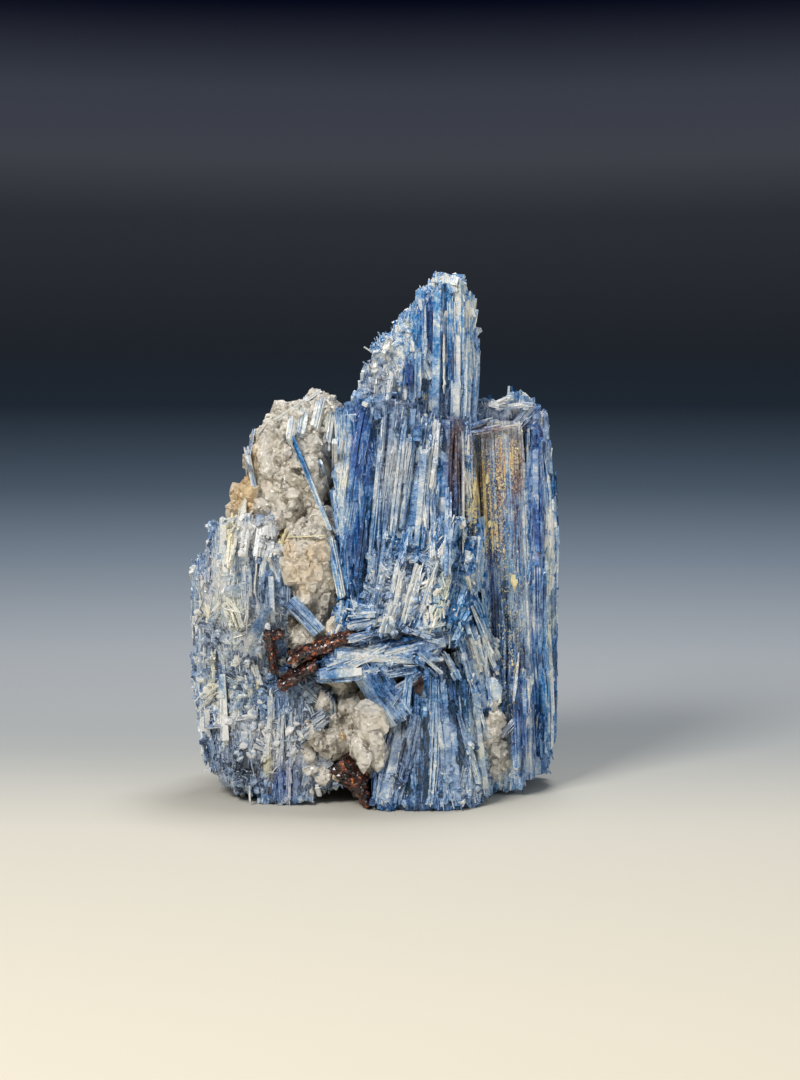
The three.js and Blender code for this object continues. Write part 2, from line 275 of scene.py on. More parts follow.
# noise on each blade: rate across, rate along, salt, detail, roughness
bladeNoise = dict(streak=(0.7, 0.08, 3.1, 4, 0.6), fine=(2.3, 0.26, 7.7, 3, 0.65),
                  parting=(0.6, 1.9, 11.3, 3, 0.6))
kyaniteFlakes = dict(blade=(1.0, 0.22, 5.3), bladeSlopes=(5.0, 6.0, 0.0), chipScale=900.0,
                     chipSlopes=(3500.0, 3500.0, 3500.0), toneSalt=53.0)
# how much each part adds to the level, where 0 is the deepest blue and 1 is white
kyaniteBase = -2.44
kyaniteWeights = dict(streak=0.85, fine=0.9, region=0.9, patch=0.9, tone=0.66, grit=0.9, scale=0.36,
                      chip=0.20, paleEdgeAndHighlight=0.22, crack=0.12, pale=0.34, deep=-0.40)
kyaniteSurface = dict(ior=1.70, bump=0.6, height=0.0002, gloss=[(0.3, 0.10), (0.75, 0.42)])


def kyaniteMaterial(name, look=kyaniteLook, clear=0.0):
    made, tree, body, place = newMaterial(name)
    has = {key: attribute(tree, key) for key in (*paints, "tone", "across", "along")}
    has.update({key: noiseOf(tree, place, *setting) for key, setting in kyaniteNoise.items()})
    size = addNode(tree, "ShaderNodeSeparateXYZ", {0: attribute(tree, "span", "Vector")})
    side = math2(tree, "MULTIPLY", has["across"], size.outputs[0])
    ahead = math2(tree, "MULTIPLY", has["along"], size.outputs[2])

    def bladeSpot(acrossRate, alongRate, salt):
        # the place on the blade, squeezed across it and drawn out along it, different on every blade
        inputs = {0: mixed(tree, salt, [(side, acrossRate)]), 1: mixed(tree, salt, [(ahead, alongRate)]),
                  2: math2(tree, "MULTIPLY", has["tone"], kyaniteFlakes["toneSalt"])}
        return addNode(tree, "ShaderNodeCombineXYZ", inputs).outputs[0]

    def painted(paint, source, stops):
        return math2(tree, "MULTIPLY", has[paint], rampOf(tree, has[source], stops), clamp=True)

    for key, (acrossRate, alongRate, salt, detail, rough) in bladeNoise.items():
        has[key] = noiseOf(tree, bladeSpot(acrossRate, alongRate, salt), 1.0, detail, rough)
    flakes = kyaniteFlakes
    has["scale"], scaleLean = facetsOf(tree, bladeSpot(*flakes["blade"]), 1.0, flakes["bladeSlopes"])
    has["chip"], chipLean = facetsOf(tree, place, flakes["chipScale"], flakes["chipSlopes"])
    # paler towards both edges of each blade: partly the thin crystal's own paler colour, partly a painted
    # highlight along every edge
    middle = math2(tree, "SUBTRACT", has["across"], 0.5)
    edge = math2(tree, "MULTIPLY", math2(tree, "ABSOLUTE", middle), 2.0)
    has["paleEdgeAndHighlight"] = rampOf(tree, edge, [(0.6, 0.0), (1.0, 1.0)])
    has["crack"] = rampOf(tree, has["parting"], [(0.60, 0.0), (0.64, 1.0)])
    level = mixed(tree, kyaniteBase, [(has[key], weight) for key, weight in kyaniteWeights.items()])
    # some places are greyer, as if dusted
    inputs = {"Saturation": mixed(tree, 1.86, [(has["dusty"], -1.5), (has["dull"], -0.6)]),
              "Value": mixed(tree, 1.0, [(has["dull"], -0.15)]),
              "Color": rampOf(tree, level, [(step, look[key]) for key, step in blueSteps.items()])}
    colour = addNode(tree, "ShaderNodeHueSaturation", inputs).outputs[0]
    # moss is a faint yellow-green cast
    cast = mixed(tree, -0.85, [(has["cast"], 1.4), (has["moss"], 0.45)])
    colour = blendColour(tree, math2(tree, "ADD", cast, 0.0, clamp=True), colour, look["moss"], "MULTIPLY")
    colour = blendColour(tree, painted("royal", "fine", [(0.35, 1.0), (0.62, 0.25)]), colour, look["royal"])
    stain = rampOf(tree, has["grit"], [(0.45, look["plum"]), (0.62, look["rose"])])
    colour = blendColour(tree, painted("plum", "mottle", [(0.38, 0.35), (0.52, 1.0)]), colour, stain)
    rust = mixed(tree, -1.04, [(has["speck"], 1.25), (has["rust"], 0.43)])
    warm = rampOf(tree, has["patch"], [(0.48, look["gold"]), (0.64, look["ochre"])])
    colour = blendColour(tree, rampOf(tree, rust, [(0.0, 0.0), (0.06, 1.0)]), colour, warm)
    colour = blendColour(tree, painted("gold", "fine", [(0.3, 0.5), (0.6, 1.0)]), colour, look["gold"])
    relief = [(has["fine"], 1.0), (has["grit"], 0.8), (scaleLean, 1.0), (chipLean, 0.8)]
    feed(tree, body, {"Base Color": colour, "IOR": kyaniteSurface["ior"], "Transmission Weight": clear,
                      "Roughness": rampOf(tree, has["grit"], kyaniteSurface["gloss"]),
                      "Normal": bumpOf(tree, kyaniteSurface["bump"], kyaniteSurface["height"], relief)})
    return made


quartzLook = dict(milk=(0.86, 0.80, 0.70), smoke=(0.20, 0.17, 0.135), cream=(0.84, 0.62, 0.36), base=-1.60,
                  facetScale=420.0, facetSlopes=(3600.0, 3600.0, 3600.0), chipScale=1100.0,
                  chipSlopes=(5200.0, 5200.0, 5200.0), ior=1.54, clear=0.1, bump=0.8, height=0.0004,
                  gloss=[(0.35, 0.04), (0.7, 0.24)])


def quartzMaterial(name, look=quartzLook):
    made, tree, body, place = newMaterial(name)
    tone, dull, rust = (attribute(tree, key) for key in ("tone", "dull", "rust"))
    patch = noiseOf(tree, place, 130.0, 4, 0.6)
    grit = noiseOf(tree, place, 1400.0, 4, 0.7)
    vein = noiseOf(tree, place, 420.0, 5, 0.7)
    facet, facetLean = facetsOf(tree, place, look["facetScale"], look["facetSlopes"])
    chip, chipLean = facetsOf(tree, place, look["chipScale"], look["chipSlopes"])
    level = mixed(tree, look["base"], [(patch, 1.2), (vein, 1.4), (tone, 0.5), (grit, 0.8), (facet, 0.40),
                                       (chip, 0.30), (dull, -0.4)])
    colour = rampOf(tree, level, [(0.0, look["smoke"]), (0.5, look["milk"])])
    cream = mixed(tree, -0.25, [(rust, 0.9), (patch, 0.5)])
    colour = blendColour(tree, rampOf(tree, cream, [(0.1, 0.0), (0.8, 1.0)]), colour, look["cream"])
    relief = [(vein, 1.2), (grit, 0.5), (facetLean, 1.0), (chipLean, 0.8)]
    feed(tree, body, {"Base Color": colour, "IOR": look["ior"], "Transmission Weight": look["clear"],
                      "Roughness": rampOf(tree, grit, look["gloss"]),
                      "Normal": bumpOf(tree, look["bump"], look["height"], relief)})
    return made


# dark red-brown is the stone's own colour; the orange at the top of the steps is painted glints of light
# shining through it
stauroliteLook = dict(ior=1.74, steps=[(0.40, (0.006, 0.003, 0.003)), (0.60, (0.050, 0.010, 0.005)),
                                       (0.72, (0.34, 0.065, 0.018)), (0.82, (0.75, 0.33, 0.10))])


def stauroliteMaterial(name, look=stauroliteLook):
    made, tree, body, place = newMaterial(name)
    patch = noiseOf(tree, place, 420.0, 5, 0.65)
    level = mixed(tree, -0.2, [(patch, 1.0), (attribute(tree, "tone"), 0.42)])
    # the brightest patches reach the painted orange glints
    feed(tree, body, {"Base Color": rampOf(tree, level, look["steps"]), "IOR": look["ior"],
                      "Roughness": rampOf(tree, patch, [(0.35, 0.12), (0.65, 0.5)])})
    return made


finishes = {
    "kyanite": kyaniteMaterial("kyaniteBlue"),
    "quartz": quartzMaterial("quartzMilky"),
    "glassy": kyaniteMaterial("kyaniteClear", clear=0.55),
    "staurolite": stauroliteMaterial("stauroliteBrown"),
}


def points(mesh):
    flat = np.empty(len(mesh.vertices) * 3, dtype=np.float32)
    mesh.vertices.foreach_get("co", flat)
    return flat.reshape(-1, 3)


def setPoints(mesh, places):
    mesh.vertices.foreach_set("co", np.ascontiguousarray(places, dtype=np.float32).ravel())
    mesh.update()


def setValues(mesh, name, values, kind="FLOAT", field="value"):
    layer = mesh.attributes.get(name) or mesh.attributes.new(name, kind, "POINT")
    layer.data.foreach_set(field, np.ascontiguousarray(values, dtype=np.float32).ravel())


def setVectors(mesh, name, vectors):
    setValues(mesh, name, vectors, "FLOAT_VECTOR", "vector")


def fill(mesh, name, value):
    setValues(mesh, name, np.full(len(mesh.vertices), value))


def triangles(mesh):
    return len(mesh.loops) - 2 * len(mesh.polygons)


def unit(way):
    return way / np.linalg.norm(way)


def readValues(mesh, name):
    values = np.zeros(len(mesh.vertices), dtype=np.float32)
    if mesh.attributes.get(name):
        mesh.attributes[name].data.foreach_get("value", values)
    return values


# all laid shapes are about 1 across and get their size where they are laid
bladeKinds = dict(count=12, seed=5, cut=0.36, overlap=0.02, thinnest=0.5, startGap=0.2, endGap=0.36)
splinterKinds = dict(count=12, seed=6, endGap=0.2)
grainKinds = dict(count=12, seed=9, planes=6)
crumbKinds = dict(count=12, seed=10, corners=8, radius=(0.38, 0.56))
slabSlant = dict(foot=0.1, head=0.16, lean=0.05)
stoneCut = dict(radius=0.62, depth=(0.28, 0.5))


def keepShape(shape, name, shelf):
    # across and along say where on its blade a point lies, from 0 to 1
    bmesh.ops.recalc_face_normals(shape, faces=shape.faces)
    mesh = meshFrom(shape, name)
    setValues(mesh, "across", points(mesh)[:, 0] + 0.5)
    setValues(mesh, "along", points(mesh)[:, 2] + 0.5)
    shelf.objects.link(bpy.data.objects.new(name, mesh))


def slabInto(shape, x0, x1, y0, y1, z0, z1, rng):
    # a closed six-sided slab whose end faces slant and whose sides lean a little
    corners = []
    foot, head, most = slabSlant.values()
    for z, tilt in ((z0, rng.uniform(-foot, foot)), (z1, rng.uniform(-head, head))):
        lean = rng.uniform(-most, most, 2)
        for x, y in ((x0, y0), (x1, y0), (x1, y1), (x0, y1)):
            share = (x - x0) / (x1 - x0) - 0.5
            corners.append(shape.verts.new((x + lean[0], y + lean[1], z + tilt * share)))
    for ring in ((3, 2, 1, 0), (4, 5, 6, 7), (0, 1, 5, 4), (1, 2, 6, 5), (2, 3, 7, 6), (3, 0, 4, 7)):
        shape.faces.new([corners[i] for i in ring])


def makeShapes(name, kinds, shapeOf):
    rng = np.random.default_rng(kinds["seed"])
    shelf = bpy.data.collections.new(name + "Shapes")
    for index in range(kinds["count"]):
        keepShape(shapeOf(rng), f"{name}Shape{index:02d}", shelf)
    return shelf


def bladeShape(rng):
    shape = bmesh.new()
    cut, overlap, thinnest, startGap, endGap = (bladeKinds[key] for key in
                                                ("cut", "overlap", "thinnest", "startGap", "endGap"))
    cuts = np.concatenate([[-0.5], np.sort(rng.uniform(-cut, cut, rng.integers(1, 4))), [0.5]])
    for x0, x1 in zip(cuts[:-1], cuts[1:]):
        slabInto(shape, x0 - overlap, x1 + overlap, -0.5, 0.5 - rng.uniform(0, thinnest),
                 -0.5 + rng.uniform(0, startGap), 0.5 - rng.uniform(0, endGap), rng)
    return shape


def splinterShape(rng):
    shape = bmesh.new()
    slabInto(shape, -0.5, 0.5, -0.5, 0.5, -0.5, 0.5 - rng.uniform(0, splinterKinds["endGap"]), rng)
    return shape


def cutStone(rng, planes):
    # a broken stone with flat faces
    shape = bmesh.new()
    bmesh.ops.create_icosphere(shape, subdivisions=1, radius=stoneCut["radius"])
    for index in range(planes):
        away = unit(rng.normal(size=3))
        everything = shape.verts[:] + shape.edges[:] + shape.faces[:]
        made = bmesh.ops.bisect_plane(shape, geom=everything, plane_co=away * rng.uniform(*stoneCut["depth"]),
                                      plane_no=away, clear_outer=True)
        rim = [part for part in made["geom_cut"] if isinstance(part, bmesh.types.BMEdge)]
        if rim:
            bmesh.ops.contextual_create(shape, geom=rim)
    return shape


def crumbShape(rng):
    shape = bmesh.new()
    for turn in range(crumbKinds["corners"]):
        shape.verts.new(unit(rng.normal(size=3)) * rng.uniform(*crumbKinds["radius"]))
    bmesh.ops.convex_hull(shape, input=shape.verts)
    return shape


scatterInputs = {"Surface": "Geometry", "Shapes": "Collection", "Kinds": "Int", "Density": "Float",
                 "Least Size": "Vector", "Most Size": "Vector", "Lean": "Vector", "Sink": "Float",
                 "Contrast": "Float", "Seed": "Int", "Material": "Material"}
randomSockets = {"FLOAT_VECTOR": (0, 1, 0), "FLOAT": (2, 3, 1), "INT": (4, 5, 2)}     # low, high, result


def scatterTree():
    # lays shapes along the grain of a surface
    tree = bpy.data.node_groups.new("laidAlongGrain", "GeometryNodeTree")
    for name, kind in scatterInputs.items():
        tree.interface.new_socket(name, in_out="INPUT", socket_type="NodeSocket" + kind)
    tree.interface.new_socket("Shapes Laid", in_out="OUTPUT", socket_type="NodeSocketGeometry")
    given = addNode(tree, "NodeGroupInput").outputs

    def add(kind, inputs=None, **settings):
        return addNode(tree, kind, inputs, **settings).outputs

    def named(name, kind="FLOAT"):
        return add("GeometryNodeInputNamedAttribute", {"Name": name}, data_type=kind)["Attribute"]

    def scaled(vector, factor):
        return add("ShaderNodeVectorMath", {0: vector, "Scale": factor}, operation="SCALE")[0]

    def chance(kind, low, high, salt):
        first, second, result = randomSockets[kind]
        inputs = {"Seed": math2(tree, "ADD", given["Seed"], salt), first: low, second: high}
        return add("FunctionNodeRandomValue", inputs, data_type=kind)[result]

    def stored(shapes, name, value, kind):
        inputs = {"Geometry": shapes, "Name": name, "Value": value}
        return add("GeometryNodeStoreNamedAttribute", inputs, data_type=kind, domain="INSTANCE")[0]

    dense = math2(tree, "MULTIPLY", named("cover"), given["Density"])
    inputs = {"Mesh": given["Surface"], "Density": dense, "Seed": given["Seed"]}
    spread = add("GeometryNodeDistributePointsOnFaces", inputs, distribute_method="RANDOM")
    along = add("FunctionNodeAlignRotationToVector", {"Vector": named("grain", "FLOAT_VECTOR")},
                axis="Z", pivot_axis="AUTO")[0]
    facing = add("FunctionNodeAlignRotationToVector", {"Rotation": along, "Vector": spread["Normal"]},
                 axis="Y", pivot_axis="Z")[0]
    swing = chance("FLOAT_VECTOR", scaled(given["Lean"], -1), given["Lean"], 11)
    turned = add("FunctionNodeRotateRotation", {"Rotation": facing, "Rotate By": swing},
                 rotation_space="LOCAL")[0]
    down = math2(tree, "MULTIPLY", chance("FLOAT", 0.0, given["Sink"], 23), -1)
    inputs = {"Geometry": spread["Points"], "Offset": scaled(spread["Normal"], down)}
    moved = add("GeometryNodeSetPosition", inputs)[0]
    shelf = add("GeometryNodeCollectionInfo", {"Separate Children": True, "Reset Children": True,
                                               "Collection": given["Shapes"]}, transform_space="ORIGINAL")[0]
    size = chance("FLOAT_VECTOR", given["Least Size"], given["Most Size"], 43)
    laid = add("GeometryNodeInstanceOnPoints",
               {"Pick Instance": True, "Points": moved, "Instance": shelf, "Rotation": turned, "Scale": size,
                "Instance Index": chance("INT", 0, given["Kinds"], 31)})[0]
    tone = mixed(tree, named("tone"), [(chance("FLOAT", -1.0, 1.0, 57), given["Contrast"])])
    laid = stored(laid, "tone", tone, "FLOAT")
    laid = stored(laid, "span", scaled(size, 1 / mm), "FLOAT_VECTOR")
    laid = stored(laid, "mark", add("GeometryNodeInputIndex")[0], "INT")
    real = add("GeometryNodeRealizeInstances", {0: laid})[0]
    painted = add("GeometryNodeSetMaterial", {"Geometry": real, "Material": given["Material"]})[0]
    addNode(tree, "NodeGroupOutput", {0: painted})
    return tree


layAlongGrain = scatterTree()
shelves = {"blades": makeShapes("blade", bladeKinds, bladeShape),
           "splinters": makeShapes("splinter", splinterKinds, splinterShape),
           "grains": makeShapes("grain", grainKinds, lambda rng: cutStone(rng, grainKinds["planes"])),
           "crumbs": makeShapes("crumb", crumbKinds, crumbShape)}
socketIds = {item.name: item.identifier for item in layAlongGrain.interface.items_tree
             if item.in_out == "INPUT"}


def evaluated(thing):
    bpy.context.view_layer.update()
    graph = bpy.context.evaluated_depsgraph_get()
    return bpy.data.meshes.new_from_object(thing.evaluated_get(graph))


def scatter(carrier, shelf, finish, density, least, most, lean, sink, seed, contrast=0.15):
    # lays shapes on a carrier and returns them as one plain mesh
    modifier = carrier.modifiers.new("laid", "NODES")
    modifier.node_group = layAlongGrain
    values = {"Shapes": shelves[shelf], "Kinds": len(shelves[shelf].objects) - 1, "Density": density / mm**2,
              "Least Size": [s * mm for s in least], "Most Size": [s * mm for s in most],
              "Lean": [math.radians(a) for a in lean], "Sink": sink * mm, "Contrast": contrast, "Seed": seed,
              "Material": finish}
    for name, value in values.items():
        modifier[socketIds[name]] = value
    mesh = evaluated(carrier)
    carrier.modifiers.remove(modifier)
    dropOutside(mesh)
    return mesh


lowBox, highBox = (np.array(side) for side in cadBox)
rim = 0.03 * mm     # how far inside the box everything stays
mergeDistance = 0.02 * mm
creaseAngle = 0.2
creaseStep = 2 * mm
voteLimit = 4000     # with more creases than this the main way is taken to be upwards


def outside(places):
    return ((places < lowBox + rim) | (places > highBox - rim)).any(axis=-1)


def dropOutside(mesh):
    # takes away every laid shape that leaves the box of the CAD model
    if not len(mesh.vertices):
        return
    marks = np.empty(len(mesh.vertices), dtype=np.int32)
    mesh.attributes["mark"].data.foreach_get("value", marks)
    out = np.bincount(marks, weights=outside(points(mesh)))[marks] > 0
    shape = bmesh.new()
    shape.from_mesh(mesh)
    shape.verts.ensure_lookup_table()
    bmesh.ops.delete(shape, geom=[shape.verts[i] for i in np.flatnonzero(out)], context="VERTS")
    shape.to_mesh(mesh)
    shape.free()
    mesh.attributes.remove(mesh.attributes["mark"])


def cadCopy(node):
    mesh = frame["nodes"][node].data.copy()
    shape = bmesh.new()
    shape.from_mesh(mesh)
    bmesh.ops.remove_doubles(shape, verts=shape.verts, dist=mergeDistance)
    shape.to_mesh(mesh)
    shape.free()
    return mesh


def grainGuide(mesh, least=4 * mm):
    # the long creases of the blades give the direction that the fibres run in
    shape = bmesh.new()
    shape.from_mesh(mesh)
    spots, ways = [], []
    for edge in shape.edges:
        length = edge.calc_length()
        if length < least or len(edge.link_faces) != 2 or edge.calc_face_angle(0) < creaseAngle:
            continue
        a, b = edge.verts[0].co, edge.verts[1].co
        way = (b - a).normalized()
        for step in range(int(length / creaseStep) + 1):
            spots.append(a.lerp(b, min(1, step * creaseStep / length)))
            ways.append(way)
    shape.free()
    ways = np.array(ways)
    main = np.array((0, 0, 1.0))
    if len(ways) < voteLimit:
        main = ways[np.argmax(np.abs(ways @ ways.T).sum(axis=1))]
    if main[2] < 0:
        main = -main
    ways *= np.where(ways @ main < 0, -1, 1)[:, None]
    tree = KDTree(len(spots))
    for index, spot in enumerate(spots):
        tree.insert(spot, index)
    tree.balance()
    return tree, ways, main


def remeshed(mesh, voxel):
    thing = linked("rough", mesh)
    modifier = thing.modifiers.new("even", "REMESH")
    modifier.mode = "VOXEL"
    modifier.voxel_size = voxel * mm
    made = evaluated(thing)
    bpy.data.objects.remove(thing)
    return made


spotFade = dict(behind=14, depth=8, reach=1.35, soft=0.7)     # behind and depth in millimetres


def softSpots(places, spots):
    # each spot is (x, z, half width, half height, amount) in millimetres and fades out towards the back
    total = np.zeros(len(places))
    front = np.clip((spotFade["behind"] - places[:, 1] / mm) / spotFade["depth"], 0, 1)
    for x, z, wide, high, amount in spots:
        away = np.hypot((places[:, 0] / mm - x) / wide, (places[:, 2] / mm - z) / high)
        total += amount * np.clip((spotFade["reach"] - away) / spotFade["soft"], 0, 1)
    return total * front


def cadTree(nodes):
    shape = bmesh.new()
    for node in nodes:
        shape.from_mesh(frame["nodes"][node].data)
    tree = BVHTree.FromBMesh(shape)
    shape.free()
    return tree


wholeCluster = cadTree(frame["nodes"])
rayLift = 0.7
openGain = 1.6     # a place counts as fully open before every ray from it is free
coreRepeat = 10.0     # the pattern on a core repeats after this many millimetres


def openness(place, normal, reach=14 * mm):
    # the share of directions round the normal that nothing blocks, from 0 to 1
    side = normal.orthogonal().normalized()
    other = normal.cross(side)
    start = place + normal * rayLift * mm
    ways = [normal, normal + side, normal - side, normal + other, normal - other]
    free = sum(wholeCluster.ray_cast(start, way.normalized(), reach)[0] is None for way in ways)
    return free / len(ways)


def carrierOf(node, spec):
    base = cadCopy(node)
    guide, ways, main = grainGuide(base)
    mesh = remeshed(base, spec["voxel"])
    places = points(mesh)
    grain = np.zeros((len(places), 3))
    cover = np.zeros(len(places))
    for index, vertex in enumerate(mesh.vertices):
        near = guide.find_n(vertex.co, 5)
        way = sum(ways[i] for _, i, _ in near)
        size = np.linalg.norm(way)
        grain[index] = way / size if size > 0 else main
        cover[index] = openness(vertex.co, vertex.normal)
    side = np.cross(grain, (0.0, 1.0, 0.3))
    setVectors(mesh, "grain", grain)
    for name in ("open", "cover"):
        setValues(mesh, name, np.clip(cover * openGain, 0, 1))
    setValues(mesh, "across", (places * side).sum(axis=1) / (coreRepeat * mm) % 1.0)
    setValues(mesh, "along", (places * grain).sum(axis=1) / (coreRepeat * mm))
    setVectors(mesh, "span", np.full((len(places), 3), coreRepeat))
    fill(mesh, "tone", spec.get("coreTone", 0.1))
    return mesh, base, (guide, ways)


def paintSpots(mesh, spec):
    places = points(mesh)
    for name, most in paints.items():
        values = softSpots(places, spec.get(name, [])) + spec.get(name + "All", 0)
        setValues(mesh, name, np.clip(values + readValues(mesh, name), 0, most))


def thinOut(mesh, spec, where, least):
    # says how thickly a layer lies: least everywhere and more in the places that the spec names
    places = points(mesh)
    amount = sum(softSpots(places, spec.get(name, [])) for name in where)
    setValues(mesh, "cover", readValues(mesh, "open") * (least + np.clip(amount, 0, 1)))


# a cleaved blade: ribs side by side, each with its own steps and its own broken ends; lengths in millimetres
bladeHabit = dict(ribSpread=0.6, shareSpread=0.6, segment=11, fray=0.25, chisel=0.5, shortest=0.5, latest=0.3,
                  crown=0.3, sunk=0.7, raised=0.35, waist=2.2, slant=0.4, toneSpread=0.17, ribTone=0.09)


def terraces(rng, count, size):
    # steps up and down, level over several ribs at a time
    walk = np.cumsum(rng.choice((0.0, 0.0, 0.0, 1.0, -1.0), count) * rng.uniform(0.4, 1, count)) * size
    return walk - walk.mean()


def cleavedBlade(foot, tip, facing, width, thick, rng, tone=None, rib=0.45, step=0.08, ragged=1.5, paint={},
                 groove=0.10, taper=0.7):
    # facing is the way the flat face looks
    habit = bladeHabit
    rib *= rng.lognormal(0.1, habit["ribSpread"])
    length = np.linalg.norm(tip - foot)
    axis = (tip - foot) / length
    front = unit(facing - axis * (facing @ axis))
    side = np.cross(front, axis)
    ribs = max(2, int(round(width / rib)))
    shares = rng.lognormal(0, habit["shareSpread"], ribs)
    edges = (np.concatenate([[0], np.cumsum(shares)]) / shares.sum() - 0.5) * width
    middle = (edges[:-1] + edges[1:]) / width
    cuts = 2 + int(length / habit["segment"])
    uneven = np.minimum(ragged, length * 0.2)
    fray = habit["fray"]
    starts = np.abs(terraces(rng, ribs, uneven)) + np.abs(rng.normal(0, fray, ribs)) * uneven
    chisel = np.abs(middle - rng.uniform(-1, 1)) * rng.uniform(0, habit["chisel"]) * width
    ends = length - np.abs(terraces(rng, ribs, uneven)) - np.abs(rng.normal(0, fray, ribs)) * uneven - chisel
    ends = np.maximum(ends, length * habit["shortest"])
    starts = np.minimum(starts, length * habit["latest"])
    along = np.sort(rng.uniform(0.04, 0.96, (ribs, cuts)), axis=1)
    along[:, 0], along[:, -1] = 0, 1
    along = starts[:, None] + along * (ends - starts)[:, None]
    crown = -habit["crown"] * thick * np.abs(middle) ** 3
    jumps = rng.choice((0.0, 0.0, 0.0, 1.0, -1.0), (ribs, cuts)) * step
    depth = (crown + terraces(rng, ribs, step * 3) + rng.normal(0, step * 0.5, ribs))[:, None]
    depth = (depth + np.cumsum(jumps, axis=1)).clip(-habit["sunk"] * thick, habit["raised"] * thick)
    tilt = rng.normal(0, step * 0.6, ribs)[:, None]
    local = np.empty((ribs, cuts, 4, 3))
    # narrower towards both ends
    leaf = 1 - rng.uniform(0, taper) * np.abs(2 * along / length - 1)**habit["waist"]
    inset = np.diff(edges) * groove
    for corner, edge in enumerate((edges[:-1] + inset, edges[1:] - inset, edges[1:], edges[:-1])):
        local[:, :, corner, 0] = edge[:, None] * leaf
    local[:, :, 0, 1] = depth - tilt
    local[:, :, 1, 1] = depth + tilt
    local[:, :, (2, 3), 1] = -thick
    local[:, :, :, 2] = along[:, :, None]
    slant = rng.normal(0, 0.5, ribs) * np.minimum(shares, 1.5) * habit["slant"]
    local[:, -1, (0, 3), 2] -= slant[:, None]
    flat = local.reshape(-1, 3)
    places = foot + flat[:, :1] * side + flat[:, 1:2] * front + flat[:, 2:] * axis
    ring = np.arange(4)
    follow = (ring + 1) % 4
    start = (np.arange(ribs)[:, None] * cuts + np.arange(cuts - 1)[None, :]).reshape(-1, 1) * 4
    walls = np.stack([start + ring, start + 4 + ring, start + 4 + follow, start + follow], axis=2)
    walls = walls.reshape(-1, 4)
    bottom = np.arange(ribs)[:, None] * cuts * 4 + ring
    top = bottom[:, ::-1] + (cuts - 1) * 4
    tone = rng.normal(0.5, habit["toneSpread"]) if tone is None else tone
    tones = np.repeat((tone + rng.normal(0, habit["ribTone"], ribs)).clip(0, 1), cuts * 4)
    return dict(places=places, faces=np.concatenate([walls, bottom, top]), fronts=walls[::4],
                across=flat[:, 0] / width + 0.5, along=flat[:, 2] / length, tone=tones,
                grain=np.tile(axis, (len(flat), 1)), span=np.tile((width, thick, length), (len(flat), 1)),
                ends=(foot, tip), **{name: np.full(len(flat), paint.get(name, 0.0)) for name in paints})


def strays(place, loose):
    # whether a place in millimetres stands out of the cluster by more than loose
    spot, normal, index, away = wholeCluster.find_nearest(Vector(place * mm))
    return away > loose * mm and (Vector(place * mm) - spot).dot(normal) > 0


def kept(blades, loose):
    # keeps the blades inside the box of the CAD model; a blade under the floor is cut level
    inside = []
    for blade in blades:
        level = blade["places"]
        level[:, 2] = np.maximum(level[:, 2], lowBox[2] / mm + 0.04)
        if not outside(level * mm).any() and not any(strays(end, loose) for end in blade["ends"]):
            inside.append(blade)
    return inside


def bladesMesh(name, blades, which="faces"):
    offsets = np.cumsum([0] + [len(blade["places"]) for blade in blades[:-1]])
    faces = np.concatenate([blade[which] + offset for blade, offset in zip(blades, offsets)])
    mesh = bpy.data.meshes.new(name)

    def joined(key):
        return np.concatenate([blade[key] for blade in blades])

    mesh.from_pydata((joined("places") * mm).tolist(), [], faces.tolist())
    for key in ("across", "along", "tone", *paints):
        setValues(mesh, key, joined(key))
    for key in ("grain", "span"):
        setVectors(mesh, key, joined(key))
    fill(mesh, "open", 1.0)
    return mesh


def openSpots(shape, finder, ways, perArea, rng, least=0.3):
    # random exposed places on a CAD surface, each with its normal and the way of the grain there
    faces = [face for face in shape.faces if face.calc_area() > (0.3 * mm)**2]
    areas = np.array([face.calc_area() for face in faces])
    for index in rng.choice(len(faces), int(areas.sum() / mm**2 * perArea), p=areas / areas.sum()):
        corners = [loop.vert.co for loop in faces[index].loops]
        a, b = sorted(rng.uniform(0, 1, 2))
        place = corners[0] * a + corners[1] * (b - a) + corners[2] * (1 - b)
        normal = faces[index].normal
        way = Vector(sum(ways[i] for _, i, _ in finder.find_n(place, 4))).normalized()
        if openness(place, normal) >= least:
            yield place, normal, way


longThick = (1.6, 2.8)     # thickness of the long blades
packThick = (0.7, 1.6)
heroThick = 1.6


def longBlades(shape, guide, spec, rng):
    # long blades along the grain, each as long as the surface under it lets it be
    finder, ways = guide
    tree = BVHTree.FromBMesh(shape)
    blades = []
    for place, normal, way in openSpots(shape, finder, ways, spec["perArea"], rng):
        if abs(normal.dot(way)) > 0.6:
            continue
        reach = []
        for turn in (-1, 1):
            far = 0
            while far < spec["longest"] / 2:
                spot = place + way * turn * (far + 2) * mm
                _, hit, _, away = tree.find_nearest(spot)
                if away > 1.3 * mm or hit.dot(normal) < 0.3:
                    break
                far += 2
            reach.append(far)
        if sum(reach) < spec["shortest"]:
            continue
        low, high = (np.array(place + way * turn * far * mm) / mm for turn, far in zip((-1, 1), reach))
        proud = rng.uniform(*spec["proud"]) * np.array(normal)
        high = high + np.array(way) * rng.uniform(0, spec["over"])
        facing = np.array(normal) + rng.normal(0, spec["twist"], 3)
        width = rng.uniform(*spec["width"])
        blades.append(cleavedBlade(low + proud, high + proud, facing, width, rng.uniform(*longThick), rng,
                                   None, spec["rib"], spec["step"], spec["ragged"]))
    return blades


def reachOf(tree, start, way, longest, loose):
    # how far a blade can run on before it leaves the surface behind
    far = 0
    while far < longest:
        away = tree.find_nearest(Vector((start + way * (far + 1.5)) * mm))[3]
        if away is None or away > loose * mm:
            break
        far += 1.5
    return min(far, longest)


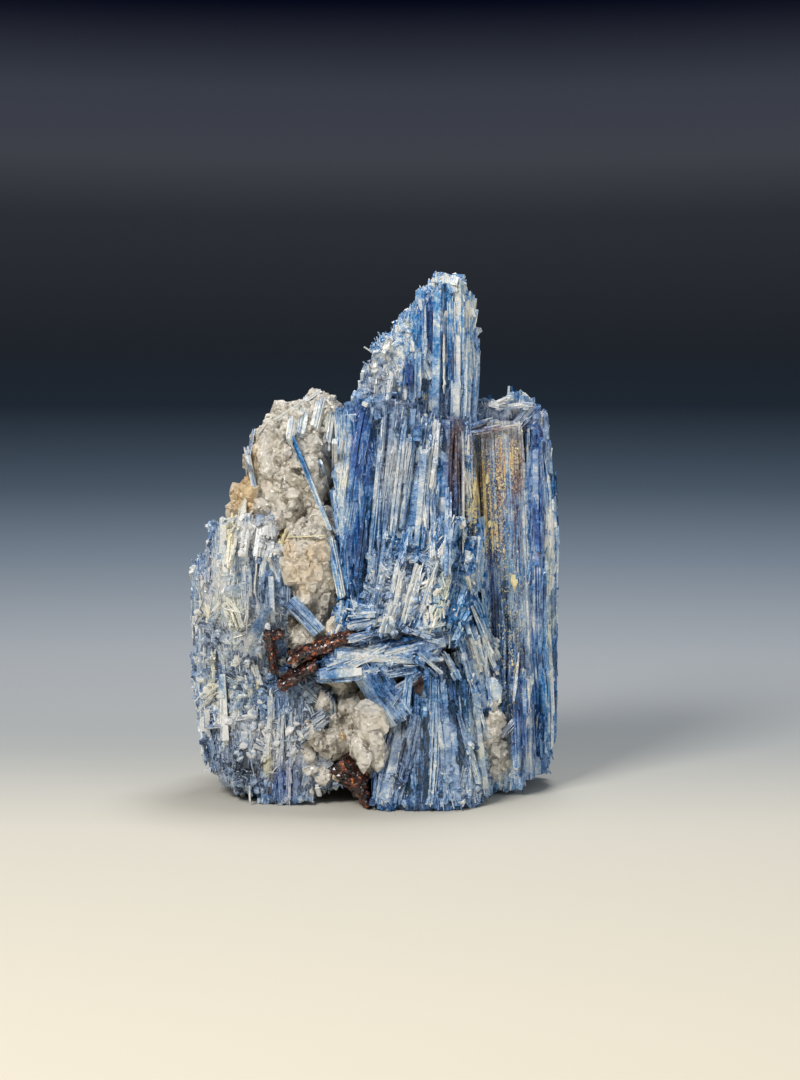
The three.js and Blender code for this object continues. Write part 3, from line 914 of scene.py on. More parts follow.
def packs(shape, guide, spec, rng):
    # small packs of near-parallel blades; the packs lean every way, more where the spec says tangle
    finder, ways = guide
    tree = BVHTree.FromBMesh(shape)
    blades = []
    for place, normal, way in openSpots(shape, finder, ways, spec["packArea"], rng, 0.2):
        up, along = np.array(normal), np.array(way)
        if abs(up @ along) > 0.75:
            up = unit(np.cross(along, rng.normal(size=3)))
        tangle = softSpots(np.array([place]), spec.get("tangle", []))[0]
        turn = math.radians(rng.normal(0, spec["lean"] + 70 * tangle))
        flat = unit(along - up * (along @ up))
        ahead = flat * math.cos(turn) + np.cross(up, flat) * math.sin(turn)
        side = np.cross(up, ahead)
        members = rng.integers(*spec["members"])
        wide = rng.uniform(*spec["packWidth"]) / (1 + tangle)
        long = rng.uniform(*spec["packLength"]) / (1 + tangle)
        tone = rng.normal(0.5, 0.2) if rng.random() < 0.8 else rng.choice((0.0, 1.0))
        for index in range(members):
            share = (index + 0.5) / members - 0.5
            own = long * rng.uniform(0.5, 1.0)
            middle = np.array(place) / mm + side * share * wide + up * rng.normal(0.1, 0.35)
            lead = unit(ahead + side * share * rng.uniform(0, 0.5) + up * rng.uniform(*spec["rise"]))
            back = reachOf(tree, middle, -lead, own * 0.5, spec["loose"])
            front = reachOf(tree, middle, lead, own * 0.5, spec["loose"])
            if back + front < 2:
                continue
            facing = up + side * share * 0.8 + rng.normal(0, spec["twist"], 3)
            width = wide / members * rng.uniform(0.9, 1.5)
            blades.append(cleavedBlade(middle - lead * back, middle + lead * front, facing, width,
                                       rng.uniform(*packThick), rng, tone, spec["rib"], spec["step"], 0.8))
    return blades


def frontAt(x, z):
    # where the front of the cluster is at this x and z, in millimetres
    hit = wholeCluster.ray_cast(Vector((x * mm, -0.2, z * mm)), Vector((0, 1, 0)))[0]
    return np.array((x, hit.y / mm if hit else 0.0, z))


def heroBlades(spec, rng):
    # single blades listed one by one: (foot x, foot z, tip x, tip z, width, tone, how proud, paint)
    blades = []
    for footX, footZ, tipX, tipZ, width, tone, proud, *paint in spec["heroes"]:
        foot, middle, tip = (frontAt(footX + (tipX - footX) * share, footZ + (tipZ - footZ) * share)
                             for share in (0.02, 0.5, 0.98))
        lift = min(0, middle[1] - (foot[1] + tip[1]) / 2) - proud - 0.5
        facing = np.array((rng.normal(0, 0.2), -1.0, rng.uniform(-0.1, 0.3)))
        blades.append(cleavedBlade(foot + (0, lift, 0), tip + (0, lift, 0), facing, width, heroThick, rng,
                                   tone, spec["rib"] * 1.3, spec["step"], spec["ragged"], *paint))
    return blades


stoneHabit = dict(planes=11, depth=0.8, swell=1.15, open=0.3)


def heroStones(name, spec, rng):
    # single stones listed one by one: (x, z, width, height, tone, how deep it sits, paint)
    meshes = []
    for x, z, wide, high, tone, sunk, *paint in spec.get("stones", ()):
        shape = cutStone(rng, stoneHabit["planes"])
        bmesh.ops.recalc_face_normals(shape, faces=shape.faces)
        mesh = meshFrom(shape, name)
        deep = min(wide, high) * stoneHabit["depth"]
        place = frontAt(x, z) + (0, deep * sunk, 0)
        setPoints(mesh, (points(mesh) * (wide, deep, high) * stoneHabit["swell"] + place) * mm)
        for key, value in dict(tone=tone, across=0.5, along=0.5, open=stoneHabit["open"]).items():
            fill(mesh, key, value)
        for key, value in dict(grain=(0, 0, 1), span=(wide, deep, high)).items():
            setVectors(mesh, key, np.tile(value, (len(mesh.vertices), 1)))
        for key in paints:
            fill(mesh, key, paint[0].get(key, 0) if paint else 0)
        meshes.append(mesh)
    return meshes


def joinMeshes(name, meshes):
    shape = bmesh.new()
    for mesh in meshes:
        shape.from_mesh(mesh)
    return meshFrom(shape, name)


def finished(mesh, finish):
    mesh.materials.clear()
    mesh.materials.append(finish)
    setPoints(mesh, np.clip(points(mesh), lowBox + rim * 0.5, highBox - rim * 0.5))
    return mesh


def showPiece(name, mesh, node, slot):
    piece = linked(name, mesh)
    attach(piece, "root")
    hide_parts(node)


sheafDefaults = dict(voxel=1.5, perArea=0.03, longest=60, shortest=6, width=(2, 8), proud=(-0.9, 0.5),
                     over=2.0, twist=0.22, rib=0.7, step=0.07, ragged=1.5, packArea=0.04, lean=12, loose=1.3,
                     members=(2, 5), packWidth=(3, 8), packLength=(5, 16), rise=(-0.08, 0.1), slim=1.0,
                     layers=("mid", "fine", "gravel", "crumbs"), heroes=(), stray=1.2,
                     finish="kyanite")
layers = {
    "mid": dict(where=("pale", "tangle"), least=0.25, lay=dict(
        shelf="blades", density=0.09, least=(0.5, 0.4, 2), most=(1.4, 0.9, 7), lean=(7, 9, 40), sink=0.4)),
    "fine": dict(where=("pale", "tangle"), least=0.3, lay=dict(
        shelf="splinters", density=0.6, least=(0.12, 0.12, 1.2), most=(0.4, 0.35, 4.5), lean=(9, 14, 90),
        sink=0.12, contrast=0.3)),
    "dust": dict(where=("tangle",), least=0.25, lay=dict(
        shelf="splinters", density=0.5, least=(0.15, 0.1, 0.4), most=(0.6, 0.3, 1.6), lean=(12, 30, 60),
        sink=0.1, contrast=0.25)),
    "gravel": dict(where=("tangle",), least=0.0, lay=dict(
        shelf="grains", density=0.16, least=(0.9, 0.9, 1.0), most=(2.6, 2.2, 3.2), lean=(180, 180, 180),
        sink=0.6, contrast=0.45)),
    "crumbs": dict(where=("tangle",), least=0.04, lay=dict(
        shelf="crumbs", density=0.8, least=(0.35, 0.35, 0.4), most=(1.3, 1.2, 1.6), lean=(180, 180, 180),
        sink=0.1, contrast=0.5)),
    "specks": dict(where=("rust",), least=0.0, paint={"gold": 0.9}, lay=dict(
        shelf="crumbs", density=5, least=(0.25, 0.2, 0.25), most=(0.8, 0.5, 0.9), lean=(40, 40, 180),
        sink=0.05, contrast=0.3)),
    "stains": dict(where=("plum",), least=0.0, paint={"plum": 1.0}, lay=dict(
        shelf="crumbs", density=3, least=(0.25, 0.2, 0.25), most=(0.9, 0.4, 1.0), lean=(40, 40, 180),
        sink=0.1, contrast=0.3)),
}
# heroes are listed one by one: (foot x, foot z, tip x, tip z, width, tone, how proud, paint)
# stones too: (x, z, width, height, tone, how deep, paint)
stained = dict(
    rust=[(25.0, 71, 3.4, 6.5, 1.18), (27.0, 76.5, 3, 4.5, 1.15), (28.6, 66, 3, 5, 0.95),
        (31.6, 85.5, 3.4, 3, 1.25), (33.6, 82, 2.5, 4, 1.1), (25.4, 84, 1.6, 3, 1.0),
        (31.5, 78, 1.8, 6, 0.9), (30.6, 59.4, 4, 6, 0.62), (33.6, 38, 3, 14, 0.75)],
    plum=[(33.4, 80, 3.0, 9, 1.0), (29.6, 87.4, 6, 3.8, 1.0), (26.6, 83, 3, 5, 0.6),
        (31, 81, 3, 6, 0.6), (19.4, 83, 2.2, 12, 0.6)])
sheaves = {
    "kyanite_spire": dict(
        seed=1, over=0.3, loose=0.8, lean=13, rib=0.8, step=0.05, coreTone=0.25, paleAll=0.45,
        royal=[(14.5, 114, 2.4, 7, 0.65), (8.2, 103, 1.6, 3, 0.8), (19.5, 108, 1.5, 8, 0.35),
            (12, 119, 2, 5, 0.35)], heroes=[(13.7, 109, 13.5, 119, 1.5, 0.1, 0.5),
            (15.4, 107, 15.2, 119, 1.5, 0.2, 0.7), (18.8, 100, 18.4, 123, 2.1, 0.35, 0.6),
            (16.9, 98, 16.8, 114, 0.9, 1.0, 0.9), (12.0, 104, 12.0, 121, 1.6, 0.6, 0.4),
            (20.9, 96, 20.8, 121, 1.8, 0.4, 0.5), (22.9, 94, 22.8, 119, 1.1, 0.95, 0.5),
            (8.2, 100.2, 8.4, 105.8, 2.6, 0.15, 0.9), (6.0, 99, 7.2, 108, 1.4, 0.5, 0.4),
            (3.0, 97, 4.0, 104, 1.2, 0.6, 0.3), (10.4, 97, 10.6, 110, 1.9, 0.45, 0.6),
            (13.6, 94, 14, 107, 1.7, 0.5, 0.6), (2.2, 108.6, 4.6, 113.4, 1.2, 0.8, 0.2),
            (6.4, 113.4, 8.6, 117.6, 1.2, 0.8, 0.2)], pale=[(2, 103, 4.5, 8, 0.4), (6, 112, 4, 5, 0.5),
            (17.5, 126, 5, 2, 0.15), (14.3, 95.4, 1.8, 2, 1.0)], deep=[(14.6, 113, 1.5, 6, 0.6),
            (8.2, 103, 1.5, 2.6, 0.8), (19, 106, 1.5, 8, 0.4)], dull=[(1, 101, 4, 8, 0.7)],
        rust=[(12.4, 97.6, 0.9, 1.3, 1.2)], tangle=[(2, 104, 4.5, 9, 1.0), (5.5, 112, 3.5, 5, 0.9),
            (9, 118, 2.5, 4, 0.7)]),
    "kyanite_shoulder_fan": dict(
        seed=2, packArea=0.03, perArea=0.02, lean=15, over=0.5, loose=0.9, rib=1.1, step=0.05, deepAll=0.15,
        heroes=[(-5.2, 73, -1.8, 95.4, 4.4, 0.3, 1.1), (-7.4, 57, -4.2, 77, 3.2, 0.45, 0.9),
            (-4.2, 54, -1.4, 76, 2.2, 0.25, 1.0), (-8.4, 71, -5.6, 91, 2.0, 0.8, 0.7, {"moss": 0.4}),
            (-1.4, 56, 2.4, 95, 1.6, 0.78, 0.7), (1.2, 57, 5.0, 95, 2.0, 0.4, 0.6),
            (3.6, 60, 7.4, 93, 1.8, 0.66, 0.4), (0.2, 52, 2.2, 86, 1.1, 0.25, 0.9),
            (-7.8, 84, -6.4, 91, 1.2, 0.7, 0.3), (6.0, 66, 9.0, 90, 2.2, 0.6, 0.5),
            (2.6, 71, 5.2, 88, 2.6, 0.62, 0.8, {"dull": 0.9}),
            (6.6, 77, 8.6, 90, 2.2, 0.72, 0.8, {"dull": 0.8})], deep=[(-2, 64, 2, 8, 0.4)],
        royal=[(-3.4, 86.5, 2.5, 8.8, 1.0), (-4.4, 64, 2.4, 9, 0.45)], pale=[(-7.5, 80, 1.5, 14, 0.7),
            (5, 92, 3, 4, 0.2), (4, 70, 2.5, 9, 0.3)], dull=[(4, 96, 5, 2.5, 0.5), (3.6, 80, 3, 12, 0.8),
            (9, 78, 3, 8, 0.7)]),
    "kyanite_ridge_blades": dict(
        seed=3, over=0.5, loose=0.9, rib=0.9, lean=16, deepAll=0.2, layers=("mid", "fine", "specks"),
        **stained, heroes=[(13.0, 76, 15.2, 93, 2.6, 0.78, 0.9, {"dull": 0.9}),
            (10.2, 69, 12.4, 88, 2.2, 0.6, 0.8, {"dull": 0.9}), (16.0, 85, 16.4, 97.6, 1.4, 0.1, 1.0),
            (21.3, 60, 21.3, 91, 0.9, 0.97, 0.2, {"moss": 0.5}), (12.6, 66, 11.2, 90, 2.2, 0.5, 0.4),
            (19.6, 58, 19.8, 90, 2.0, 0.15, 0.3), (17.4, 56, 17.8, 78, 1.8, 0.6, 0.5),
            (14.6, 60, 13.8, 80, 1.6, 0.4, 0.5)], pale=[(14, 90, 1.8, 6, 0.9), (22.4, 80, 0.9, 11, 1.0),
            (12, 74, 3, 7, 0.5), (6.9, 83.4, 1.8, 5, 0.5)], deep=[(16.2, 91, 0.9, 6, 0.8),
            (19.6, 82, 1.4, 8, 0.6)], dull=[(20, 82, 1.8, 9, 0.8), (6.9, 83.4, 2, 5, 1.0),
            (12, 78, 3, 9, 0.5)]),
    "kyanite_stained_blade": dict(
        seed=4, single=True, tone=0.42, rib=0.7, step=0.05, ragged=0.4, layers=("dust", "specks", "stains"),
        heroes=[(23.9, 58, 23.6, 88.4, 2.6, 0.3, 0.2), (37.6, 54, 35.7, 91.4, 1.3, 0.85, 0.4),
            (25.4, 60, 24.5, 88, 0.7, 0.9, 0.3), (24.2, 88.2, 35.6, 91.2, 0.9, 1.0, 0.5),
            (34.4, 7, 33.2, 42, 2.4, 0.25, 0.6), (37.6, 5, 36.6, 30, 2.4, 0.45, 0.5),
            (31.6, 26, 30.8, 50, 1.6, 0.35, 0.5), (36.4, 22, 38.4, 31, 2.6, 0.72, 0.9, {"moss": 0.5}),
            (33.6, 24, 35.2, 36, 1.4, 0.9, 0.8, {"gold": 0.3}),
            (30.6, 15.6, 34.6, 20, 3.2, 0.68, 1.2, {"dull": 0.7})],
        stones=[(34.2, 52.2, 1.7, 4.2, 0.6, 0.1, {"rust": 2, "gold": 0.4}),
            (31.8, 60, 1.0, 2.2, 0.6, 0.2, {"gold": 1}), (28.0, 66.5, 0.9, 2.0, 0.6, 0.2, {"gold": 1}),
            (25.0, 72, 0.8, 1.8, 0.6, 0.3, {"gold": 0.9}), (27.4, 77.6, 0.8, 2.0, 0.6, 0.3, {"gold": 1})],
        **stained, royal=[(28, 52, 2.4, 12, 0.5), (35, 24, 2, 14, 0.4)], deep=[(27.6, 55, 3, 12, 0.5),
            (25.5, 72, 4, 10, 0.9)], dullAll=0.2, dull=[(30, 84, 6, 8, 0.5)], moss=[(33.6, 46, 3, 12, 0.8),
            (25, 68, 2, 8, 0.6)], pale=[(36.4, 72, 1, 22, 0.6), (30, 91, 8, 1, 0.8), (26, 86, 2, 4, 0.3)]),
    "kyanite_edge_blades": dict(
        seed=5, lean=5, over=0.4, loose=0.8, rib=0.7, layers=("mid", "fine", "crumbs"), **stained,
        heroes=[(23, 89.2, 30, 90, 1.5, 0.55, 0.5), (22.8, 91, 29.8, 91.8, 1.4, 0.7, 0.3),
            (29.8, 94.8, 39.6, 95.6, 1.5, 0.6, 0.4), (40.2, 58, 39, 92, 2.4, 0.12, 0.6),
            (37.6, 58, 37.6, 91, 1.1, 0.92, 0.5), (42.6, 20, 42.2, 70, 1.6, 0.75, 0.4),
            (41.2, 8, 41.4, 56, 2.2, 0.2, 0.7), (30.2, 96.2, 34.4, 97.4, 1.4, 0.8, 0.4)],
        royal=[(40, 72, 1.8, 26, 0.6), (38.6, 24, 2, 16, 0.4)], moss=[(42, 40, 3, 24, 0.6)],
        dull=[(33, 94, 9, 4, 0.6)], pale=[(42.6, 60, 1.2, 30, 0.5), (33, 95, 9, 4, 1.0),
            (43, 30, 1.4, 20, 0.4)]),
    "kyanite_foot_blades": dict(
        seed=6, lean=8, royal=[(37, 15, 3, 9, 0.6)], pale=[(31, 8, 4, 6, 0.7)], tangle=[(31, 9, 4, 6, 0.5)],
        moss=[(34, 12, 8, 12, 0.5)], heroes=[(36.2, 4, 36, 24, 2.2, 0.2, 0.6),
            (38.8, 5, 38.6, 22, 2.0, 0.5, 0.6), (41, 8, 41, 20, 2.6, 0.35, 0.6)]),
    "kyanite_front_spray": dict(
        seed=7, coreTone=0.05, rib=1.3, lean=16, perArea=0.02, deepAll=0.36, packWidth=(4, 9),
        packLength=(7, 18), mossAll=0.15, heroes=[(-0.6, 1.6, 7.4, 21, 3.6, 0.38, 0.3),
            (2.0, 0.6, 8.2, 17, 3.0, 0.5, 0.7), (4.8, 1, 10.4, 25, 3.6, 0.25, 0.5),
            (8.0, 9, 10.8, 25, 2.8, 0.55, 0.9), (10.8, 9, 12.4, 27, 1.2, 0.95, 1.1),
            (9.4, 1, 12.6, 22, 3.0, 0.35, 0.4), (13.6, 1, 14.4, 27, 2.4, 0.35, 0.6),
            (18.6, 2, 15.4, 27, 2.4, 0.6, 0.6), (23, 4, 16.6, 26, 2.4, 0.3, 0.4),
            (22.4, 10, 18.0, 24, 1.0, 0.0, 1.0), (25, 6, 20, 24, 1.8, 0.65, 0.8),
            (17.2, 3, 16.0, 12, 2.2, 0.15, 1.0), (20.2, 7, 18.6, 13, 1.3, 0.85, 1.0, {"dull": 0.8})],
        deep=[(9, 13, 4, 9, 0.3), (20.4, 17, 2, 6, 0.8)], dullAll=0.25, dull=[(5, 18, 6, 8, 0.3)],
        pale=[(25, 10, 4, 8, 0.5), (17, 2.4, 12, 2.4, 0.6), (4, 3, 4, 2.4, 0.4), (26, 32, 5, 8, 0.8)],
        tangle=[(18, 2.4, 14, 3, 1.0), (27, 14, 4, 8, 0.9), (4, 3, 5, 3, 0.8)], moss=[(26, 18, 5, 14, 0.6)]),
    "kyanite_diagonal_blade": dict(
        seed=8, single=True, slim=0.8, tone=0.16, layers=("dust",),
        heroes=[(6.4, 20.2, -3.4, 34.4, 1.0, 0.9, 0.3), (3.4, 20.0, -5, 32, 1.3, 0.6, 0.5),
            (9, 22.4, 1, 35, 1.5, 0.3, 0.4), (6.4, 24.0, 8.4, 28, 1.4, 0.95, 1.2, {"dull": 0.5}),
            (4.4, 26.6, 8.4, 31.6, 1.2, 0.7, 0.8), (3.4, 28, 7, 32.6, 1.0, 0.4, 0.8),
            (5.0, 28.8, 12.8, 33.4, 2.6, 0.55, 0.3, {"dull": 0.4}), (7.4, 25, 8.8, 35, 2.2, 0.45, 0.3)]),
    "kyanite_feather_sheaf": dict(
        seed=9, rib=0.4, step=0.1, lean=18, dullAll=0.3, deep=[(6, 41.6, 5, 1.5, 2.0)],
        heroes=[(-12.6, 33, 1, 38.2, 2.8, 0.62, 0.8), (-11.4, 34.8, 4, 39.6, 2.2, 0.8, 0.8),
            (-9.6, 31.8, 2, 34.2, 2.6, 0.55, 1.0), (0, 35, 11, 38.2, 2.6, 0.6, 1.1),
            (2, 37.6, 11, 39.8, 1.6, 0.92, 0.9), (2, 33, 11, 34.4, 2.6, 0.35, 0.8),
            (16.4, 32.6, 9.6, 39.2, 1.4, 1.0, 1.4), (15.2, 32.2, 8.8, 37.6, 0.8, 0.0, 1.2)],
        pale=[(2, 36, 10, 4, 0.3)], packLength=(3, 8), tangle=[(6, 35, 7, 3, 0.4)]),
    "kyanite_crossing_blades": dict(
        seed=10, thin=1.4, rib=0.4, step=0.1, lean=26, packArea=0.12, perArea=0.010, longest=18,
        members=(2, 4), coreTone=0.0, pale=[(5, 55, 7, 9, 0.4), (16, 47, 6, 8, 0.3)],
        tangle=[(8, 53, 12, 14, 0.45)], dull=[(6, 41, 6, 2.5, 0.9), (4, 52, 6, 8, 0.4)],
        deep=[(5.4, 41.2, 5, 1.7, 2.0), (2, 65, 1.8, 3, 1.6)], moss=[(18, 48, 5, 10, 0.7),
            (8, 48, 4, 3, 0.5)], heroes=[(2.4, 42.6, 6.0, 51, 2.4, 0.97, 1.2),
            (4.2, 48, 6.6, 60, 2.8, 0.9, 1.0), (7.4, 45, 11.6, 60, 2.6, 0.88, 1.0),
            (0.0, 46, 2.4, 58, 2.2, 0.6, 0.8), (11, 47, 15.4, 60, 2.4, 0.75, 0.9),
            (14, 44, 19, 58, 1.8, 0.8, 0.8, {"moss": 0.6}), (6.2, 59, 8.2, 69, 2.6, 0.2, 0.9),
            (11.4, 62, 11.8, 69, 1.6, 0.2, 0.9), (14, 60, 14.4, 69, 1.6, 0.85, 0.9),
            (-7, 41.6, 1.6, 43.0, 3.0, 0.5, 1.6, {"dull": 0.5}),
            (-6.6, 44.2, 1.8, 45.6, 2.8, 0.62, 1.6, {"dull": 0.5}), (-5.6, 46.8, 1.4, 47.6, 2.0, 0.72, 1.4),
            (-1.6, 40.6, 6.4, 43.4, 1.3, 0.65, 1.2), (13.4, 45, 18.4, 38, 1.5, 0.9, 1.2),
            (16.6, 38.6, 20.8, 30.4, 1.8, 0.7, 1.0), (12.4, 44.6, 17.6, 45, 1.3, 0.85, 1.2)]),
    "kyanite_side_laths": dict(
        seed=11, lean=24, perArea=0.012, longest=24, packArea=0.07, pale=[(24, 34, 6, 9, 0.5)],
        tangle=[(25, 28, 6, 8, 0.7)], moss=[(24, 38, 7, 16, 0.5)], dull=[(24, 36, 6, 8, 0.4)],
        deep=[(20.8, 41, 1.6, 2.6, 1.2)], heroes=[(30.4, 29.6, 23.2, 48.8, 1.7, 1.0, 1.4, {"moss": 0.6}),
            (27, 18, 19.6, 44, 1.6, 0.8, 0.8), (28.6, 22, 25.4, 46, 1.4, 0.6, 0.7),
            (25.6, 31, 22.0, 42, 2.2, 0.8, 1.0, {"dull": 0.8, "gold": 0.2}),
            (27.8, 30, 25.6, 40, 1.4, 0.55, 1.0, {"dull": 0.8}),
            (23.4, 50.6, 22.4, 56, 1.3, 0.9, 1.0, {"gold": 0.5})],
        stones=[(28.4, 27.4, 4.4, 5.6, 0.95, 0.1, {"moss": 0.2}),
            (31.2, 23.4, 3.0, 6.4, 0.95, 0.1, {"gold": 0.15}), (24.4, 23, 3.6, 5, 0.8, 0.3),
            (27.6, 17.6, 3.0, 3.6, 0.85, 0.2), (23.0, 51.6, 1.2, 1.6, 0.7, 0.0, {"gold": 1})]),
    "kyanite_left_sheaf": dict(
        seed=12, apart=True, lean=30, packArea=0.10, packLength=(4, 11), packWidth=(2.4, 6), perArea=0.008,
        coreTone=0.15, longest=18, step=0.1, paleAll=0.28, pale=[(-36, 50, 7, 9, 0.45),
            (-31, 33, 7, 9, 0.5), (-41, 24, 4, 6, 0.7), (-29, 65, 7, 3.4, 0.6), (-27, 16, 4, 5, 0.5)],
        royal=[(-21.6, 5.6, 3.4, 5, 0.6), (-40.8, 56, 1.4, 8, 0.4)], deep=[(-40.6, 19.4, 1.4, 1.8, 2.0),
            (-32, 58, 1.4, 6, 0.5), (-38, 33, 0.9, 3, 1.8), (-31.6, 9, 2.6, 2.6, 1.4)], dullAll=0.45,
        dull=[(-30, 13, 9, 9, 0.5), (-14, 15, 7, 12, 0.9), (-34, 40, 9, 12, 0.4), (-29, 65, 7, 3.4, 0.7)],
        moss=[(-35, 46, 5, 8, 0.6), (-36, 30, 7, 8, 0.5), (-25.5, 10, 2, 4, 0.8), (-13, 20, 6, 8, 0.6)],
        gold=[(-25.6, 9.4, 1.2, 2.6, 0.35), (-35, 68, 1.4, 5, 0.5)], thin=1.35,
        tangle=[(-34, 30, 9, 12, 0.8), (-15, 16, 7, 12, 0.7), (-30, 13, 10, 9, 0.6), (-37, 60, 7, 6, 0.5),
            (-29, 65, 7, 3.4, 0.9), (-36, 46, 6, 8, 0.5), (-25, 40, 4, 10, 0.4)],
        heroes=[(-25.6, 0.6, -24.6, 8.4, 2.4, 0.15, 0.4), (-23.4, 0.4, -22.6, 9.4, 2.6, 0.3, 0.6),
            (-20.8, 0.4, -20.6, 10.4, 1.4, 0.85, 0.5), (-19.0, 0.4, -19.0, 11, 1.6, 0.1, 0.6),
            (-22.8, 8, -22.2, 24.6, 2.4, 0.55, 0.9, {"dull": 0.5}),
            (-20.0, 9, -19.8, 24, 2.2, 0.65, 0.7, {"dull": 0.5}), (-25.6, 11, -25.2, 22, 2.0, 0.8, 0.7),
            (-24.8, 20.4, -24.6, 27.4, 2.0, 0.82, 0.9), (-18.6, 17.6, -10.6, 23.4, 1.6, 0.3, 1.0),
            (-18.2, 16.2, -11.4, 21.6, 1.4, 0.5, 1.0), (-17.2, 19.6, -11.8, 24.2, 1.3, 0.2, 0.9),
            (-32.2, 23.6, -31.6, 29.4, 2.0, 0.25, 0.8),
            (-27.4, 29.2, -29.2, 34.8, 2.4, 0.8, 1.0, {"dull": 0.5, "moss": 0.4}),
            (-43.4, 20.6, -38.6, 26.4, 1.4, 1.0, 0.6),
            (-43.2, 22.6, -38.0, 28.0, 1.3, 0.95, 0.6, {"moss": 0.4}),
            (-42.6, 24.6, -38.6, 29.8, 1.3, 0.85, 0.6), (-41.4, 17.2, -33.8, 20.2, 1.6, 0.65, 1.0),
            (-40.0, 11, -41.6, 17, 1.1, 0.3, 0.6), (-38.6, 10.4, -40.4, 16.6, 1.0, 0.7, 0.7),
            (-36.6, 9.6, -37.8, 16, 1.5, 0.45, 0.7), (-34.4, 9.6, -35.4, 15.4, 1.3, 0.3, 0.7),
            (-40.8, 53.6, -40.0, 62.6, 1.9, 0.3, 0.7), (-42.8, 48.4, -43.0, 54.4, 1.6, 0.22, 0.4),
            (-27.2, 51.6, -26.0, 62.0, 2.4, 0.55, 1.0), (-28.9, 50.4, -28.0, 61.4, 1.0, 0.97, 0.9),
            (-30.6, 52, -30.2, 62, 1.8, 0.4, 0.8), (-33.6, 53, -33.4, 61.6, 1.8, 0.5, 0.8),
            (-30.8, 43, -30.4, 53.4, 1.8, 0.85, 0.4), (-32.4, 42, -32.4, 50, 1.6, 0.5, 0.3),
            (-33.0, 43.4, -35.6, 49.4, 1.3, 0.85, 1.0, {"gold": 0.45}),
            (-31.6, 43.0, -34.2, 49.4, 1.2, 0.9, 1.0, {"moss": 1}),
            (-34.4, 42.6, -36.9, 48.6, 1.2, 0.75, 1.0, {"moss": 1}), (-36, 20, -37, 40, 1.8, 0.7, 0.6),
            (-41.8, 28, -41.6, 42, 1.8, 0.5, 0.5), (-39.2, 28, -39.4, 42, 1.3, 0.9, 0.6, {"gold": 0.2}),
            (-35.0, 58, -34.2, 70.4, 1.8, 0.7, 0.6, {"gold": 0.35}),
            (-37.4, 58, -37.2, 66.4, 2.0, 0.5, 0.6), (-31.6, 60, -30.6, 71.0, 2.0, 0.8, 0.6),
            (-28.4, 60, -27.2, 69.6, 1.8, 0.72, 0.6), (-25.4, 60, -24.2, 67.6, 1.6, 0.8, 0.6),
            (-33, 66, -30.8, 75, 1.6, 0.85, 0.3, {"gold": 0.25}),
            (-22.8, 60.4, -21.0, 67.4, 0.8, 0.8, 0.5, {"gold": 1}),
            (-21.6, 60.4, -23.0, 66.4, 0.7, 0.8, 0.6, {"gold": 1}),
            (-21.9, 64.6, -11.2, 65.6, 0.5, 0.9, 0.5, {"gold": 0.8})],
        stones=[(-40.2, 45.4, 2.8, 4.0, 0.95, 0.1, {"gold": 0.45}),
            (-38.8, 43.4, 2.0, 2.8, 0.9, 0.1, {"gold": 0.3}),
            (-33.6, 51.6, 5.0, 4.0, 0.45, 0.1, {"dull": 0.8}),
            (-22.0, 33.2, 2.4, 4.2, 0.7, 0.0, {"dull": 0.4}),
            (-37.4, 55.8, 3.0, 4.2, 0.6, 0.2, {"dull": 0.8}),
            (-30.6, 66.4, 5.0, 4.6, 0.7, 0.1, {"dull": 0.9}),
            (-26.0, 66.0, 4.2, 4.0, 0.75, 0.1, {"dull": 0.8}), (-35.4, 32.0, 3.2, 3.6, 0.95, 0.2),
            (-33.4, 34.4, 2.2, 2.4, 1.0, 0.1), (-29.6, 31.6, 0.8, 1.4, 0.8, 0.0, {"gold": 1}),
            (-28.4, 28.8, 0.8, 2.0, 0.8, 0.0, {"gold": 1}), (-40.4, 19.4, 2.4, 3.0, -0.2, 0.1),
            (-41.8, 10.6, 2.0, 2.6, 0.95, 0.1, {"gold": 0.3}),
            (-25.6, 9.4, 2.4, 4.6, 0.4, 0.2, {"gold": 0.25, "dull": 1})]),
    "kyanite_clear_rod": dict(
        seed=13, single=True, layers=(), paleAll=0.2, tone=0.7, finish="glassy", rib=1.2),
    "kyanite_long_needle": dict(
        seed=14, single=True, layers=(), tone=0.55, slim=0.7, deep=[(-18, 84, 4, 5, 0.4)],
        pale=[(-12, 70, 3, 8, 0.7)], heroes=[(-11.0, 73, -12.8, 82.8, 1.1, 0.9, 0.4)]),
    "kyanite_short_needle": dict(
        seed=15, single=True, layers=(), tone=0.6, slim=0.7, paleAll=0.7, dullAll=0.6, mossAll=0.35,
        heroes=[(-25, 91.4, -16, 97, 1.6, 0.8, 0.4, {"moss": 0.3}),
            (-20, 94.6, -12.4, 99.4, 1.6, 0.95, 0.4), (-17.8, 89, -16.2, 98, 2.4, 0.75, 0.8, {"moss": 0.5}),
            (-14.8, 90, -12.8, 98.6, 2.4, 0.85, 0.6, {"moss": 0.3}),
            (-11.6, 86, -10.4, 95, 2.4, 0.8, 0.6, {"moss": 0.5}),
            (-20.6, 88, -20.0, 95.6, 2.2, 0.85, 0.5, {"moss": 0.3}), (-30.2, 84, -29.4, 90, 0.8, 0.3, 0.2),
            (-31.2, 78, -30.4, 83, 0.8, 0.5, 0.2), (-28.6, 88, -24.4, 93.4, 1.4, 0.75, 0.2),
            (-11.6, 84, -11, 92, 1.6, 0.85, 0.3), (-9.6, 78, -9.4, 88, 1.4, 0.75, 0.4)]),
    "kyanite_side_splinter": dict(seed=16, single=True, layers=("dust",), slim=0.8, tone=0.8, mossAll=0.4),
    "kyanite_pocket_wedge": dict(seed=17, single=True, layers=(), slim=0.9, tone=0.28, rib=0.9, dullAll=0.5),
    "kyanite_back_sheaf": dict(seed=18, packArea=0.014, perArea=0.014, thin=0.45, voxel=2.0, rib=0.8),
}


